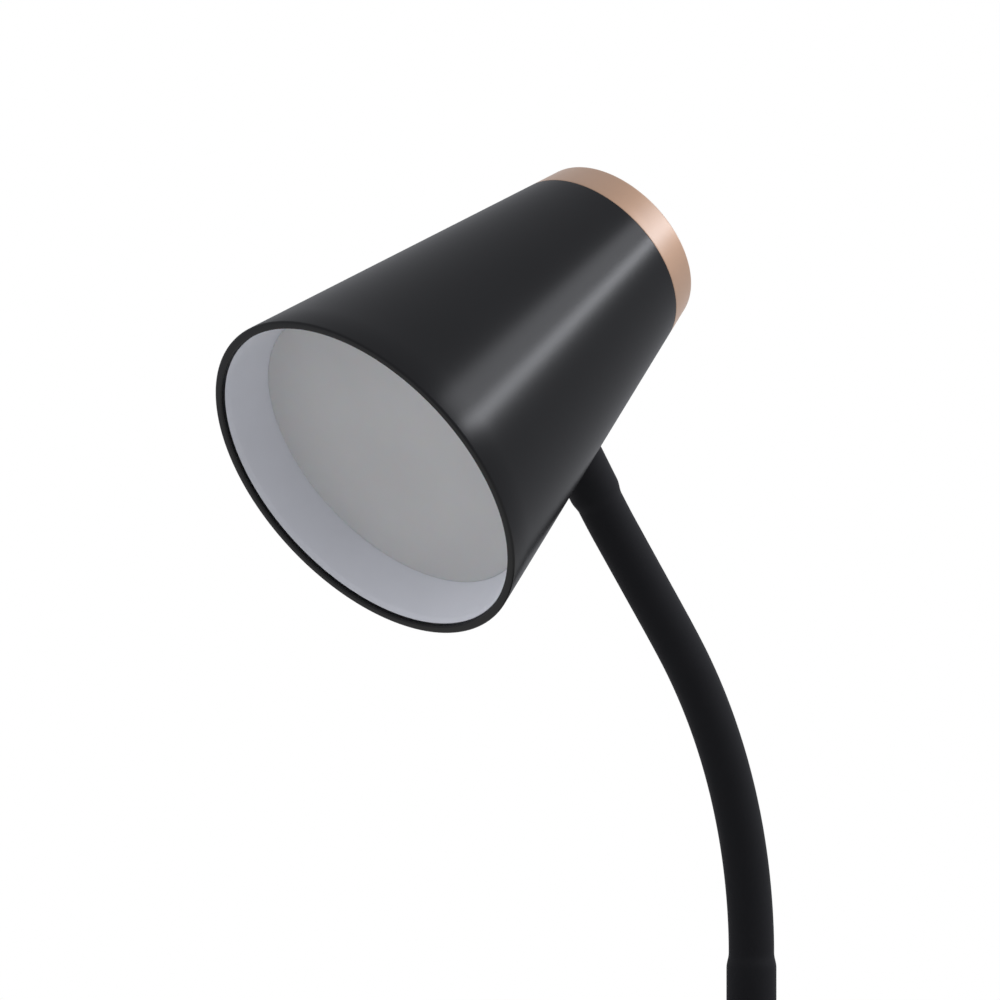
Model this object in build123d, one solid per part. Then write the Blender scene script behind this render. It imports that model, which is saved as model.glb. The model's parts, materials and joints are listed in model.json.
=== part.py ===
"""Gooseneck desk lamp.

Frame: millimetres, +Z up, origin at the middle of the base's underside. The head faces -Y, and the
plane X = 0 divides the lamp into two like halves. The neck rises from the middle of the base.

The neck is a chain of straight links. Each link is a length of steel conduit inside a length of
black sleeve, and both end in ball faces centred on the pivots, so that a link can turn about its
pivot without meeting its neighbour.

The head is built upright, with its axis on Z, its mouth at height 0 and its rear end up, and the
neck on its +Y side. It is then tilted and set on the end of the neck.
"""

from build123d import *
import os
from math import cos, radians, sin, sqrt

# ---------------------------------------------------------------- fits, used throughout
FIT_GAP = 0.05  # between pieces of one body that are pushed together
EASY_GAP = 0.3  # between pieces that are dropped in place

# ---------------------------------------------------------------- base
BASE_RADIUS = 75.0
BASE_HEIGHT = 26.0
BASE_EDGE_ROUND = 9.0
COVER_WALL = 2.5
PAD_THICKNESS = 2.0
PAD_MARGIN = 5.0  # from the pad's edge to the cover's
PLATE_THICKNESS = 1.5
WEIGHT_MARGIN = 13.5  # from the cover's bore to the weight's side
WEIGHT_THICKNESS = 10.5
WEIGHT_EDGE_CHAMFER = 0.8
SEAT_BOSS_RADIUS = 14.0  # boss under the cover that stands on the weight

PLATE_SCREW_COUNT = 4
PLATE_SCREW_MARGIN = 6.5  # from the cover's bore to the screws' axes
PLATE_SCREW_RADIUS = 1.45
PLATE_SCREW_LENGTH = 10.0
PLATE_SCREW_HEAD = 2.9
PLATE_BOSS_RADIUS = 3.6

# ---------------------------------------------------------------- neck nuts and thread
THREAD_RADIUS = 5.0
THREAD_HOLE_GAP = 0.25
THREAD_PROUD = 0.3  # how far the thread stands out of its nut
THREAD_BORE = 3.4
NUT_SIDE_COUNT = 6
NUT_FLATS = 14.0
NUT_THICKNESS = 3.0
WASHER_THICKNESS = 0.8
WASHER_RADIUS = 9.0
NUT_POCKET_RADIUS = 10.0
LEAD_SPACE = 3.6  # under the thread, for the lead

# ---------------------------------------------------------------- neck
JOINT_COUNT = 14
LINK_PITCH = 10.5
SLEEVE_RADIUS = 6.55
SLEEVE_WALL = 1.2
CONDUIT_BORE = 2.6
BALL_MARGIN = 0.45  # how much larger the ball faces are than the sleeve
BALL_GAP = 0.3
FITTING_WALL = 0.65
SLEEVE_TAPER = 4.2
END_REACH = 5.0  # from the end of a taper to the nearest pivot
LOWER_END_LENGTH = 39.8
UPPER_END_LENGTH = 18.5
NECK_LEAD_RADIUS = 1.5  # two-core lead that runs through the neck
CONDUIT_SOCKET = 14.0  # how deep the conduit sits in each end fitting
NECK_LEAN = 37.6  # degrees from upright, once the neck has bent
BEND_RADIUS = 151.7
BEND_START = -6.3  # along the neck, from the first pivot
HEAD_PITCH = 35.0  # degrees, mouth down

# ---------------------------------------------------------------- shade
MOUTH_RADIUS = 50.5
SHADE_LENGTH = 104.3
SHADE_END_RADIUS = 28.5
SHADE_WALL = 2.25
LIP_DEPTH = 1.25
LIP_LAND = 1.4  # flat part of the mouth's edge
MOUTH_ROUND = 0.5
SHADE_BACK_THICKNESS = 2.5
LOCATING_RING_HEIGHT = 2.0
LOCATING_RING_WIDTH = 2.0
NECK_ENTRY = 68.8  # from the mouth to the neck's axis
NECK_SEAT_DEPTH = 3.3  # from the shade's surface to the seat of the neck's end
NECK_SEAT_WALL = 4.4
NECK_BOSS_RADIUS = 10.5
NECK_POCKET_GAP = 0.15

# ---------------------------------------------------------------- rear cap
CAP_LENGTH = 10.4
CAP_WALL = 1.5
CAP_ROUND = 1.2
CAP_BOSS_RADIUS = 5.0
CAP_SCREW_RADIUS = 1.95
CAP_SCREW_LENGTH = 9.0
CAP_SCREW_HEAD = 3.8
CAP_SCREW_HEAD_HEIGHT = 2.6

# ---------------------------------------------------------------- light engine
DIFFUSER_DEPTH = 14.4
DIFFUSER_MARGIN = 1.6  # from the shade's bore to the diffuser's edge
DIFFUSER_THICKNESS = 2.0
REFLECTOR_GAP = 0.1  # from the reflector to the shade's bore
REFLECTOR_FRONT_EDGE = 1.1  # width of the bevelled front edge
REFLECTOR_BEVEL = 1.35
LEDGE_WIDTH = 2.2
LIGHT_BOX_DEPTH = 10.0  # from the diffuser's back to the reflector's flange
LIGHT_BOX_TAPER = 1.5
REFLECTOR_FLANGE_THICKNESS = 1.2
REFLECTOR_FLANGE_MARGIN = 4.5  # from the screws' axes to the flange's bore
LED_BOARD_THICKNESS = 1.6
LED_BOARD_HOLE = 1.2  # for the lead's cores
LED_OUTER_COUNT = 16
LED_OUTER_MARGIN = 10.0  # from the screws' axes to the outer ring of chips
LED_INNER_COUNT = 8
LED_INNER_CIRCLE = 12.0
LED_SIZE = (2.8, 3.5, 0.7)
SINK_MARGIN = 1.3  # from the shade's bore to the heat sink's edge
SINK_THICKNESS = 2.5
SINK_HUB_RADIUS = 9.0
SINK_BORE = 4.0
FIN_COUNT = 9
FIN_HEIGHT = 10.0
FIN_THICKNESS = 1.5
FIN_MARGIN = 5.0  # from the screws' axes to the fins' ends
SINK_SCREW_COUNT = 3
SINK_SCREW_MARGIN = 6.3  # from the heat sink's edge to the screws' axes
SINK_SCREW_RADIUS = 1.45
SINK_SCREW_HEAD = 2.75
SINK_SCREW_HEAD_HEIGHT = 1.8
SINK_SCREW_BITE = 8.0  # how far the screws go into the shade's bosses
SINK_BOSS_RADIUS = 3.6
SINK_BOSS_LENGTH = 46.0
HEAD_LEAD_BEND = 12.0

# ---------------------------------------------------------------- switch, board and inlet
BUTTON_INSET = 33.0  # from the base's edge to the button's axis
BUTTON_RADIUS = 7.0
BUTTON_PROUD = 1.4
BUTTON_GAP = 0.3
BUTTON_ROUND = 0.6
BUTTON_FLANGE_WIDTH = 1.2
BUTTON_FLANGE_THICKNESS = 1.0
BUTTON_LIFT_GAP = 0.1  # between the flange and the cover above it
BUTTON_TRAVEL = 1.0
PLUNGER_RADIUS = 1.7
PLUNGER_GAP = 0.08
PLUNGER_REACH = 1.3  # how far the plunger stands out of the switch
PLUNGER_DEPTH = 1.2  # how far it goes into the switch at rest
SWITCH_SIDE = 6.0
SWITCH_HEIGHT = 3.0
BOARD_SIZE = (44.0, 26.0)
BOARD_THICKNESS = 1.6
BOARD_CORNER = 2.0
BOARD_SCREW_SPACING = 34.0
BOARD_SCREW_RADIUS = 1.2
BOARD_SCREW_LENGTH = 5.0
BOARD_SCREW_HEAD = 2.2
BOARD_SCREW_HEAD_HEIGHT = 1.2
BOARD_BOSS_RADIUS = 3.0
CHIP_SIZES = ((-10.0, 5.0, 5.0, 5.0, 2.6), (11.0, 4.0, 6.0, 5.0, 1.6), (9.0, -7.5, 8.0, 4.0, 2.2))
JACK_WIDTH = 9.0
JACK_HEIGHT = 11.0
JACK_LENGTH = 13.0
JACK_BORE = 3.15
JACK_BORE_DEPTH = 9.5
JACK_PIN_RADIUS = 1.0
JACK_PIN_SETBACK = 1.0
JACK_PIN_ROOT = 1.0  # how far the pin is sunk in the body
JACK_NOSE_RADIUS = 4.2
JACK_NOSE_SETBACK = 0.6  # from the cover's surface to the nose's face
JACK_NOTCH_GAP = 1.0
JACK_NOTCH_ROOM = 7.6  # behind the inlet, for its leads
JACK_LEAD_SPACING = 6.4
JACK_WALL_GAP = 0.25
JACK_LEAD_RADIUS = 1.1
JACK_LEAD_BEND = 3.0
JACK_LEAD_ASIDE = 4.4  # from the seat boss to each of the inlet's leads
BASE_LEAD_BEND = 4.0
BASE_LEAD_ASIDE = 3.0  # from the weight's side to the neck's lead
LEAD_LANDING = 3.0  # how far the leads reach onto the board
LEAD_GROOVE_GAP = 0.4

# ---------------------------------------------------------------- sizes that follow
PAD_RADIUS = BASE_RADIUS - PAD_MARGIN
COVER_BORE = BASE_RADIUS - COVER_WALL
COVER_UNDERSIDE = BASE_HEIGHT - COVER_WALL
PLATE_SCREW_CIRCLE = COVER_BORE - PLATE_SCREW_MARGIN
WEIGHT_RADIUS = COVER_BORE - WEIGHT_MARGIN
PLATE_TOP = PAD_THICKNESS + PLATE_THICKNESS
WEIGHT_TOP = PLATE_TOP + WEIGHT_THICKNESS
SLEEVE_BORE = SLEEVE_RADIUS - SLEEVE_WALL
CONDUIT_RADIUS = SLEEVE_BORE - FIT_GAP
BALL_RADIUS = SLEEVE_RADIUS + BALL_MARGIN
SOCKET_RADIUS = BALL_RADIUS + BALL_GAP
SLEEVE_END_RADIUS = SLEEVE_RADIUS + FITTING_WALL
FITTING_RADIUS = SLEEVE_END_RADIUS - SLEEVE_WALL - FIT_GAP
THREAD_HOLE = THREAD_RADIUS + THREAD_HOLE_GAP
SHADE_SLOPE = (MOUTH_RADIUS - SHADE_END_RADIUS) / SHADE_LENGTH
BUTTON_Y = BUTTON_INSET - BASE_RADIUS
BUTTON_FLANGE_TOP = COVER_UNDERSIDE - BUTTON_LIFT_GAP
BUTTON_FLANGE_BOTTOM = BUTTON_FLANGE_TOP - BUTTON_FLANGE_THICKNESS
SWITCH_TOP = BUTTON_FLANGE_BOTTOM - PLUNGER_REACH
BOARD_TOP = SWITCH_TOP - SWITCH_HEIGHT
BOARD_BOTTOM = BOARD_TOP - BOARD_THICKNESS
JACK_AXIS_Z = PLATE_TOP + JACK_HEIGHT / 2
DIFFUSER_BACK = DIFFUSER_DEPTH + DIFFUSER_THICKNESS
FLANGE_FRONT = DIFFUSER_BACK + LIGHT_BOX_DEPTH
BOARD_FRONT = FLANGE_FRONT + REFLECTOR_FLANGE_THICKNESS
SINK_FRONT = BOARD_FRONT + LED_BOARD_THICKNESS
SINK_BACK = SINK_FRONT + SINK_THICKNESS
CAP_END_RADIUS = SHADE_END_RADIUS - SHADE_SLOPE * CAP_LENGTH


def shade_radius(depth: float) -> float:
    """Outer radius of the shade at a depth behind its mouth."""
    return MOUTH_RADIUS - SHADE_SLOPE * depth


def shade_bore(depth: float) -> float:
    """Inner radius of the shade at a depth behind its mouth."""
    return shade_radius(depth) - SHADE_WALL


DIFFUSER_RADIUS = shade_bore(DIFFUSER_DEPTH) - DIFFUSER_MARGIN
SINK_RADIUS = shade_bore(SINK_BACK) - SINK_MARGIN
LED_BOARD_RADIUS = SINK_RADIUS - EASY_GAP
SINK_SCREW_CIRCLE = SINK_RADIUS - SINK_SCREW_MARGIN
REFLECTOR_FLANGE_BORE = SINK_SCREW_CIRCLE - REFLECTOR_FLANGE_MARGIN
FIN_REACH = SINK_SCREW_CIRCLE - FIN_MARGIN
LED_OUTER_CIRCLE = SINK_SCREW_CIRCLE - LED_OUTER_MARGIN
NECK_SEAT = shade_radius(NECK_ENTRY) - NECK_SEAT_DEPTH
NECK_BOSS_FACE = NECK_SEAT - NECK_SEAT_WALL
UPPER_THREAD_END = NECK_BOSS_FACE - WASHER_THICKNESS - NUT_THICKNESS - THREAD_PROUD


# ---------------------------------------------------------------- shared shapes
def turned(*points: tuple[float, float]) -> Part:
    """A solid of revolution about Z, from its (radius, height) outline."""
    outline = Polyline(*[(radius, 0, height) for radius, height in points], close=True)
    return revolve(make_face(outline), Axis.Z)


def rod(radius: float, low: float, high: float, x: float = 0, y: float = 0) -> Part:
    """An upright cylinder from one height to another."""
    tall = Cylinder(radius, high - low, align=(Align.CENTER, Align.CENTER, Align.MIN))
    return Pos(x, y, low) * tall


def tube(outer: float, inner: float, low: float, high: float) -> Part:
    """An upright tube on the Z axis."""
    return turned((inner, low), (outer, low), (outer, high), (inner, high))


def block(width: float, depth: float, low: float, high: float, x: float = 0, y: float = 0) -> Part:
    """An upright box, centred on (x, y)."""
    tall = Box(width, depth, high - low, align=(Align.CENTER, Align.CENTER, Align.MIN))
    return Pos(x, y, low) * tall


def group(solids: list) -> Compound:
    """Several separate solids that share one node."""
    return Compound(children=[piece.solid() for piece in solids])


def around(count: int, radius: float, first: float = 0) -> list[tuple[float, float, float]]:
    """Evenly spaced places on a circle: x, y and the angle in degrees."""
    angles = [first + 360 * index / count for index in range(count)]
    return [(radius * cos(radians(a)), radius * sin(radians(a)), a) for a in angles]


def screw(shank: float, length: float, head: float, head_height: float) -> Part:
    """A pan-head screw whose head stands above height 0, with its shank below and a cross recess."""
    body = rod(head, 0, head_height) + rod(shank, -length, 0)
    recess_depth = head_height / 2
    arm = block(head, head / 4, head_height - recess_depth, head_height)
    return body - arm - Rot(0, 0, 90) * arm


def countersunk_screw(shank: float, length: float, head: float) -> Part:
    """A flat-head screw whose head ends flush at height 0, with its shank below and a cross recess."""
    cone = head - shank
    body = turned((0, 0), (head, 0), (shank, -cone), (shank, -length), (0, -length))
    arm = block(head, head / 4, -cone / 2, 0)
    return body - arm - Rot(0, 0, 90) * arm


def nut(low: float) -> Part:
    """A thin hexagon nut for the neck's thread, standing on a height."""
    hexagon = RegularPolygon(NUT_FLATS / 2, NUT_SIDE_COUNT, major_radius=False)
    return Pos(0, 0, low) * extrude(hexagon, NUT_THICKNESS) - rod(
        THREAD_RADIUS + FIT_GAP, low, low + NUT_THICKNESS
    )


# ---------------------------------------------------------------- neck
def link_leans() -> list[float]:
    """Each link's lean from upright in degrees: the stub on the base, the links, then the head."""
    bend_length = BEND_RADIUS * radians(NECK_LEAN)
    leans = [0.0]
    for index in range(1, JOINT_COUNT):
        middle = (index - 0.5) * LINK_PITCH
        share = min(max((middle - BEND_START) / bend_length, 0), 1)
        leans.append(share * NECK_LEAN)
    return leans + [HEAD_PITCH]


def first_pivot() -> float:
    """Height of the lowest pivot."""
    return BASE_HEIGHT + LOWER_END_LENGTH + SLEEVE_TAPER + END_REACH


def neck_planes() -> list[Plane]:
    """A plane at each pivot, with its normal along the link above it. The stub's plane comes first."""
    at = Vector(0, 0, 0)
    planes = []
    for index, lean in enumerate(link_leans()):
        along = Vector(0, -sin(radians(lean)), cos(radians(lean)))
        planes.append(Plane(origin=at, x_dir=(1, 0, 0), z_dir=along))
        at = at + along * (first_pivot() if index == 0 else LINK_PITCH)
    return planes


def ball_arc(radius: float, centre: float, start: float, end: float) -> ThreePointArc:
    """An arc on the lower half of a ball centred on Z, from one distance off the axis to another."""
    middle = (start + end) / 2
    return ThreePointArc(
        *[(x, 0, centre - sqrt(radius**2 - x**2)) for x in (start, middle, end)]
    )


def ball_ended(outline: list[tuple[float, float]], low_ball: bool, high_pivot: float | None) -> Part:
    """A turned length of the neck whose ends may be ball faces.

    The outline gives the inner and outer (radius, height) points of the stretch between its ends: up
    the outside, then down the inside. A low ball is centred on height 0 and stands out below it. A
    high pivot is the height of the next pivot, around which the top end is hollowed.
    """
    half = len(outline) // 2
    outside, inside = list(outline[:half]), list(outline[half:])
    if low_ball:
        outer, inner = outside[0][0], inside[-1][0]
        low_edge = ball_arc(BALL_RADIUS, 0, inner, outer)
        outside[0] = (outer, -sqrt(BALL_RADIUS**2 - outer**2))
        inside[-1] = (inner, -sqrt(BALL_RADIUS**2 - inner**2))
    else:
        low_edge = Line((inside[-1][0], 0, inside[-1][1]), (outside[0][0], 0, outside[0][1]))
    if high_pivot is not None:
        outer, inner = outside[-1][0], inside[0][0]
        high_edge = ball_arc(SOCKET_RADIUS, high_pivot, outer, inner)
        outside[-1] = (outer, high_pivot - sqrt(SOCKET_RADIUS**2 - outer**2))
        inside[0] = (inner, high_pivot - sqrt(SOCKET_RADIUS**2 - inner**2))
    else:
        high_edge = Line((outside[-1][0], 0, outside[-1][1]), (inside[0][0], 0, inside[0][1]))
    outer_edge = Polyline(*[(radius, 0, height) for radius, height in outside])
    inner_edge = Polyline(*[(radius, 0, height) for radius, height in inside])
    return revolve(make_face(low_edge + outer_edge + high_edge + inner_edge), Axis.Z)


def straight_length(outer: float, inner: float, low: float, high: float) -> list:
    """Outline of a plain tube for ball_ended."""
    return [(outer, low), (outer, high), (inner, high), (inner, low)]


def lower_sleeve() -> Part:
    """The sleeve's end over the lower fitting, from the base up to the first pivot."""
    swell_top = BASE_HEIGHT + LOWER_END_LENGTH
    neck_top = swell_top + SLEEVE_TAPER
    pivot = first_pivot()
    return ball_ended(
        [
            (SLEEVE_END_RADIUS, BASE_HEIGHT),
            (SLEEVE_END_RADIUS, swell_top),
            (SLEEVE_RADIUS, neck_top),
            (SLEEVE_RADIUS, pivot),
            (SLEEVE_BORE, pivot),
            (SLEEVE_BORE, neck_top),
            (FITTING_RADIUS + FIT_GAP, swell_top),
            (FITTING_RADIUS + FIT_GAP, BASE_HEIGHT),
        ],
        low_ball=False,
        high_pivot=pivot,
    )


def upper_reach() -> float:
    """Distance from the last pivot to the seat in the shade."""
    return END_REACH + SLEEVE_TAPER + UPPER_END_LENGTH


def upper_sleeve() -> Part:
    """The sleeve's end over the upper fitting, from the last pivot at height 0 to the shade's seat."""
    swell_low = END_REACH + SLEEVE_TAPER
    seat = upper_reach()
    return ball_ended(
        [
            (SLEEVE_RADIUS, 0),
            (SLEEVE_RADIUS, END_REACH),
            (SLEEVE_END_RADIUS, swell_low),
            (SLEEVE_END_RADIUS, seat),
            (FITTING_RADIUS + FIT_GAP, seat),
            (FITTING_RADIUS + FIT_GAP, swell_low),
            (SLEEVE_BORE, END_REACH),
            (SLEEVE_BORE, 0),
        ],
        low_ball=True,
        high_pivot=None,
    )


def end_fitting(thread_end: float, seat: float, mouth: float) -> Part:
    """A steel end fitting: thread, shoulder at the seat, and a socket that holds the conduit."""
    socket_floor = mouth - CONDUIT_SOCKET
    return turned(
        (THREAD_BORE, thread_end),
        (THREAD_RADIUS, thread_end),
        (THREAD_RADIUS, seat),
        (FITTING_RADIUS, seat),
        (FITTING_RADIUS, mouth),
        (CONDUIT_RADIUS + FIT_GAP, mouth),
        (CONDUIT_RADIUS + FIT_GAP, socket_floor),
        (THREAD_BORE, socket_floor),
    )


def neck_parts() -> dict[str, Part]:
    """The sleeve and conduit lengths, numbered from the base up, and the end fittings."""
    planes = neck_planes()
    swell_top = BASE_HEIGHT + LOWER_END_LENGTH
    pivot = first_pivot()
    conduit_low = swell_top - CONDUIT_SOCKET
    stub = straight_length(CONDUIT_RADIUS, CONDUIT_BORE, conduit_low, pivot)
    parts = {
        "neck_sleeve_00": lower_sleeve(),
        "neck_conduit_00": ball_ended(stub, low_ball=False, high_pivot=pivot),
    }
    sleeve_outline = straight_length(SLEEVE_RADIUS, SLEEVE_BORE, 0, LINK_PITCH)
    conduit_outline = straight_length(CONDUIT_RADIUS, CONDUIT_BORE, 0, LINK_PITCH)
    sleeve = ball_ended(sleeve_outline, low_ball=True, high_pivot=LINK_PITCH)
    conduit = ball_ended(conduit_outline, low_ball=True, high_pivot=LINK_PITCH)
    for index in range(1, JOINT_COUNT):
        parts[f"neck_sleeve_{index:02d}"] = planes[index].location * sleeve
        parts[f"neck_conduit_{index:02d}"] = planes[index].location * conduit
    top = planes[JOINT_COUNT].location
    swell_low = END_REACH + SLEEVE_TAPER
    end = straight_length(CONDUIT_RADIUS, CONDUIT_BORE, 0, swell_low + CONDUIT_SOCKET)
    parts[f"neck_sleeve_{JOINT_COUNT:02d}"] = top * upper_sleeve()
    parts[f"neck_conduit_{JOINT_COUNT:02d}"] = top * ball_ended(end, True, None)
    parts["lower_end_fitting"] = end_fitting(PLATE_TOP + LEAD_SPACE, BASE_HEIGHT, swell_top)
    fitting = end_fitting(UPPER_THREAD_END - NECK_SEAT, 0, UPPER_END_LENGTH)
    parts["upper_end_fitting"] = top * Pos(0, 0, upper_reach()) * Rot(180, 0, 0) * fitting
    return parts


# ---------------------------------------------------------------- base
def weight_pocket_top() -> float:
    """Height of the pocket's roof in the weight, against which the washer and nut pull."""
    return PLATE_TOP + LEAD_SPACE + THREAD_PROUD + NUT_THICKNESS + WASHER_THICKNESS


def base_cover() -> Part:
    """Moulded cover: an open-bottomed shell with a seat boss, plate bosses and board bosses."""
    outside = rod(BASE_RADIUS, PAD_THICKNESS, BASE_HEIGHT)
    outside = fillet(outside.edges().group_by(Axis.Z)[-1], BASE_EDGE_ROUND)
    inside = rod(COVER_BORE, PAD_THICKNESS, COVER_UNDERSIDE)
    inside = fillet(inside.edges().group_by(Axis.Z)[-1], BASE_EDGE_ROUND - COVER_WALL)
    cover = outside - inside + rod(SEAT_BOSS_RADIUS, WEIGHT_TOP, BASE_HEIGHT)
    for x, y, _ in plate_screw_places():
        boss = rod(PLATE_BOSS_RADIUS, PLATE_TOP, BASE_HEIGHT, x, y) & outside
        cover += boss
        cover -= rod(PLATE_SCREW_RADIUS + FIT_GAP, PAD_THICKNESS, plate_screw_tip() + EASY_GAP, x, y)
    for x in board_screw_places():
        cover += rod(BOARD_BOSS_RADIUS, BOARD_TOP, BASE_HEIGHT - COVER_WALL / 2, x, BUTTON_Y)
        cover -= rod(
            BOARD_SCREW_RADIUS + FIT_GAP, BOARD_TOP, board_screw_tip() + EASY_GAP, x, BUTTON_Y
        )
    cover -= rod(THREAD_HOLE, PAD_THICKNESS, BASE_HEIGHT)
    cover -= rod(BUTTON_RADIUS + BUTTON_GAP, BOARD_TOP, BASE_HEIGHT, 0, BUTTON_Y)
    return cover - inlet_cylinder(JACK_NOSE_RADIUS + JACK_WALL_GAP, jack_front(), BASE_RADIUS)


def plate_screw_places() -> list[tuple[float, float, float]]:
    """Where the plate screws stand, clear of the inlet and the button."""
    return around(PLATE_SCREW_COUNT, PLATE_SCREW_CIRCLE, 180 / PLATE_SCREW_COUNT)


def plate_screw_tip() -> float:
    """Height of the plate screws' tips."""
    return PAD_THICKNESS + PLATE_SCREW_LENGTH


def board_screw_places() -> tuple[float, float]:
    """Where the board screws stand, either side of the button."""
    return (-BOARD_SCREW_SPACING / 2, BOARD_SCREW_SPACING / 2)


def board_screw_tip() -> float:
    """Height of the board screws' tips."""
    return BOARD_BOTTOM + BOARD_SCREW_LENGTH


def base_plate() -> Part:
    """Steel plate that closes the cover, with countersunk holes."""
    plate = rod(COVER_BORE - EASY_GAP, PAD_THICKNESS, PLATE_TOP)
    sink = PLATE_SCREW_HEAD - PLATE_SCREW_RADIUS
    hole = turned(
        (0, PAD_THICKNESS),
        (PLATE_SCREW_HEAD + FIT_GAP, PAD_THICKNESS),
        (PLATE_SCREW_RADIUS + FIT_GAP, PAD_THICKNESS + sink),
        (PLATE_SCREW_RADIUS + FIT_GAP, PLATE_TOP + sink),
        (0, PLATE_TOP + sink),
    )
    for x, y, _ in plate_screw_places():
        plate -= Pos(x, y, 0) * hole
    return plate


def base_weight() -> Part:
    """Cast weight with a pocket for the neck's nut, a groove for its lead and a notch for the inlet."""
    weight = rod(WEIGHT_RADIUS, PLATE_TOP, WEIGHT_TOP)
    weight = chamfer(weight.edges(), WEIGHT_EDGE_CHAMFER)
    weight -= rod(THREAD_HOLE, PLATE_TOP, WEIGHT_TOP)
    weight -= rod(NUT_POCKET_RADIUS, PLATE_TOP, weight_pocket_top())
    groove_width = 2 * (NECK_LEAD_RADIUS + LEAD_GROOVE_GAP)
    groove_top = lead_height() + NECK_LEAD_RADIUS + LEAD_GROOVE_GAP
    weight -= block(groove_width, WEIGHT_RADIUS, PLATE_TOP, groove_top, y=-WEIGHT_RADIUS / 2)
    notch_start = jack_back() - JACK_NOTCH_ROOM
    notch_width = JACK_WIDTH + 2 * JACK_NOTCH_GAP
    notch_middle = notch_start + BASE_RADIUS / 2
    return weight - block(notch_width, BASE_RADIUS, PLATE_TOP, WEIGHT_TOP, y=notch_middle)


def lead_height() -> float:
    """Height of the neck's lead where it runs under the weight."""
    return PLATE_TOP + EASY_GAP + NECK_LEAD_RADIUS


def jack_front() -> float:
    """Y of the inlet body's front face, just inside the cover's wall."""
    return sqrt(COVER_BORE**2 - (JACK_WIDTH / 2) ** 2) - JACK_WALL_GAP


def jack_back() -> float:
    """Y of the inlet body's back face."""
    return jack_front() - JACK_LENGTH


def inlet_cylinder(radius: float, start: float, end: float) -> Part:
    """A cylinder along the inlet's axis, between two Y places."""
    middle = Pos(0, (start + end) / 2, JACK_AXIS_Z)
    return middle * Rot(90, 0, 0) * Cylinder(radius, end - start)


def dc_jack() -> Part:
    """Round DC inlet: a square body on the plate, with a nose in the cover's wall and a centre pin."""
    front = jack_front()
    middle = front - JACK_LENGTH / 2
    face = BASE_RADIUS - JACK_NOSE_SETBACK
    floor = face - JACK_BORE_DEPTH
    body = block(JACK_WIDTH, JACK_LENGTH, PLATE_TOP, PLATE_TOP + JACK_HEIGHT, y=middle)
    body += inlet_cylinder(JACK_NOSE_RADIUS, middle, face)
    body -= inlet_cylinder(JACK_BORE, floor, face)
    return body + inlet_cylinder(JACK_PIN_RADIUS, floor - JACK_PIN_ROOT, face - JACK_PIN_SETBACK)


def control_board() -> Part:
    """Circuit board under the button, with holes for its screws."""
    outline = RectangleRounded(*BOARD_SIZE, BOARD_CORNER)
    board = Pos(0, BUTTON_Y, BOARD_BOTTOM) * extrude(outline, BOARD_THICKNESS)
    for x in board_screw_places():
        board -= rod(BOARD_SCREW_RADIUS + FIT_GAP, BOARD_BOTTOM, BOARD_TOP, x, BUTTON_Y)
    return board


def driver_parts() -> Compound:
    """Coil, driver chip and connector on the control board."""
    return group(
        [
            block(width, depth, BOARD_TOP, BOARD_TOP + height, x, BUTTON_Y + y)
            for x, y, width, depth, height in CHIP_SIZES
        ]
    )


def push_switch() -> Part:
    """Switch housing on the control board, bored for its plunger."""
    housing = block(SWITCH_SIDE, SWITCH_SIDE, BOARD_TOP, SWITCH_TOP, y=BUTTON_Y)
    floor = SWITCH_TOP - PLUNGER_DEPTH - BUTTON_TRAVEL - EASY_GAP
    return housing - rod(PLUNGER_RADIUS + PLUNGER_GAP, floor, SWITCH_TOP, y=BUTTON_Y)


def switch_plunger() -> Part:
    """Plunger between the switch housing and the button."""
    return rod(PLUNGER_RADIUS, SWITCH_TOP - PLUNGER_DEPTH, BUTTON_FLANGE_BOTTOM, y=BUTTON_Y)


def switch_button() -> Part:
    """Round button cap with a flange that keeps it under the cover."""
    cap = rod(BUTTON_RADIUS, BUTTON_FLANGE_TOP, BASE_HEIGHT + BUTTON_PROUD)
    cap = fillet(cap.edges().group_by(Axis.Z)[-1], BUTTON_ROUND)
    flange_radius = BUTTON_RADIUS + BUTTON_GAP + BUTTON_FLANGE_WIDTH
    cap += rod(flange_radius, BUTTON_FLANGE_BOTTOM, BUTTON_FLANGE_TOP)
    return Pos(0, BUTTON_Y, 0) * cap


def lead(radius: float, bend: float, *points: tuple[float, float, float]) -> Part:
    """A round lead through straight runs joined by arcs."""
    route = FilletPolyline(*points, radius=bend)
    section = Plane(origin=route @ 0, z_dir=route % 0) * Circle(radius)
    return sweep(section, route)


def base_leads() -> Compound:
    """The inlet's two leads, either side of the seat boss, and the neck's lead under the weight."""
    landing = BUTTON_Y + BOARD_SIZE[1] / 2 - LEAD_LANDING
    aside = SEAT_BOSS_RADIUS + JACK_LEAD_ASIDE
    height = BOARD_TOP + JACK_LEAD_RADIUS
    rise = jack_back() - JACK_NOTCH_ROOM + JACK_NOTCH_GAP + JACK_LEAD_RADIUS
    solids = [
        lead(
            JACK_LEAD_RADIUS,
            JACK_LEAD_BEND,
            (side * JACK_LEAD_SPACING / 2, jack_back(), JACK_AXIS_Z),
            (side * JACK_LEAD_SPACING / 2, rise, JACK_AXIS_Z),
            (side * JACK_LEAD_SPACING / 2, rise, height),
            (side * aside, SEAT_BOSS_RADIUS, height),
            (side * aside, landing, height),
        )
        for side in (-1, 1)
    ]
    front = -(WEIGHT_RADIUS + BASE_LEAD_ASIDE)
    solids.append(
        lead(
            NECK_LEAD_RADIUS,
            BASE_LEAD_BEND,
            (0, 0, WEIGHT_TOP),
            (0, 0, lead_height()),
            (0, front, lead_height()),
            (0, front, BOARD_TOP + NECK_LEAD_RADIUS),
            (0, BUTTON_Y - BOARD_SIZE[1] / 2 + LEAD_LANDING, BOARD_TOP + NECK_LEAD_RADIUS),
        )
    )
    return group(solids)


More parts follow.
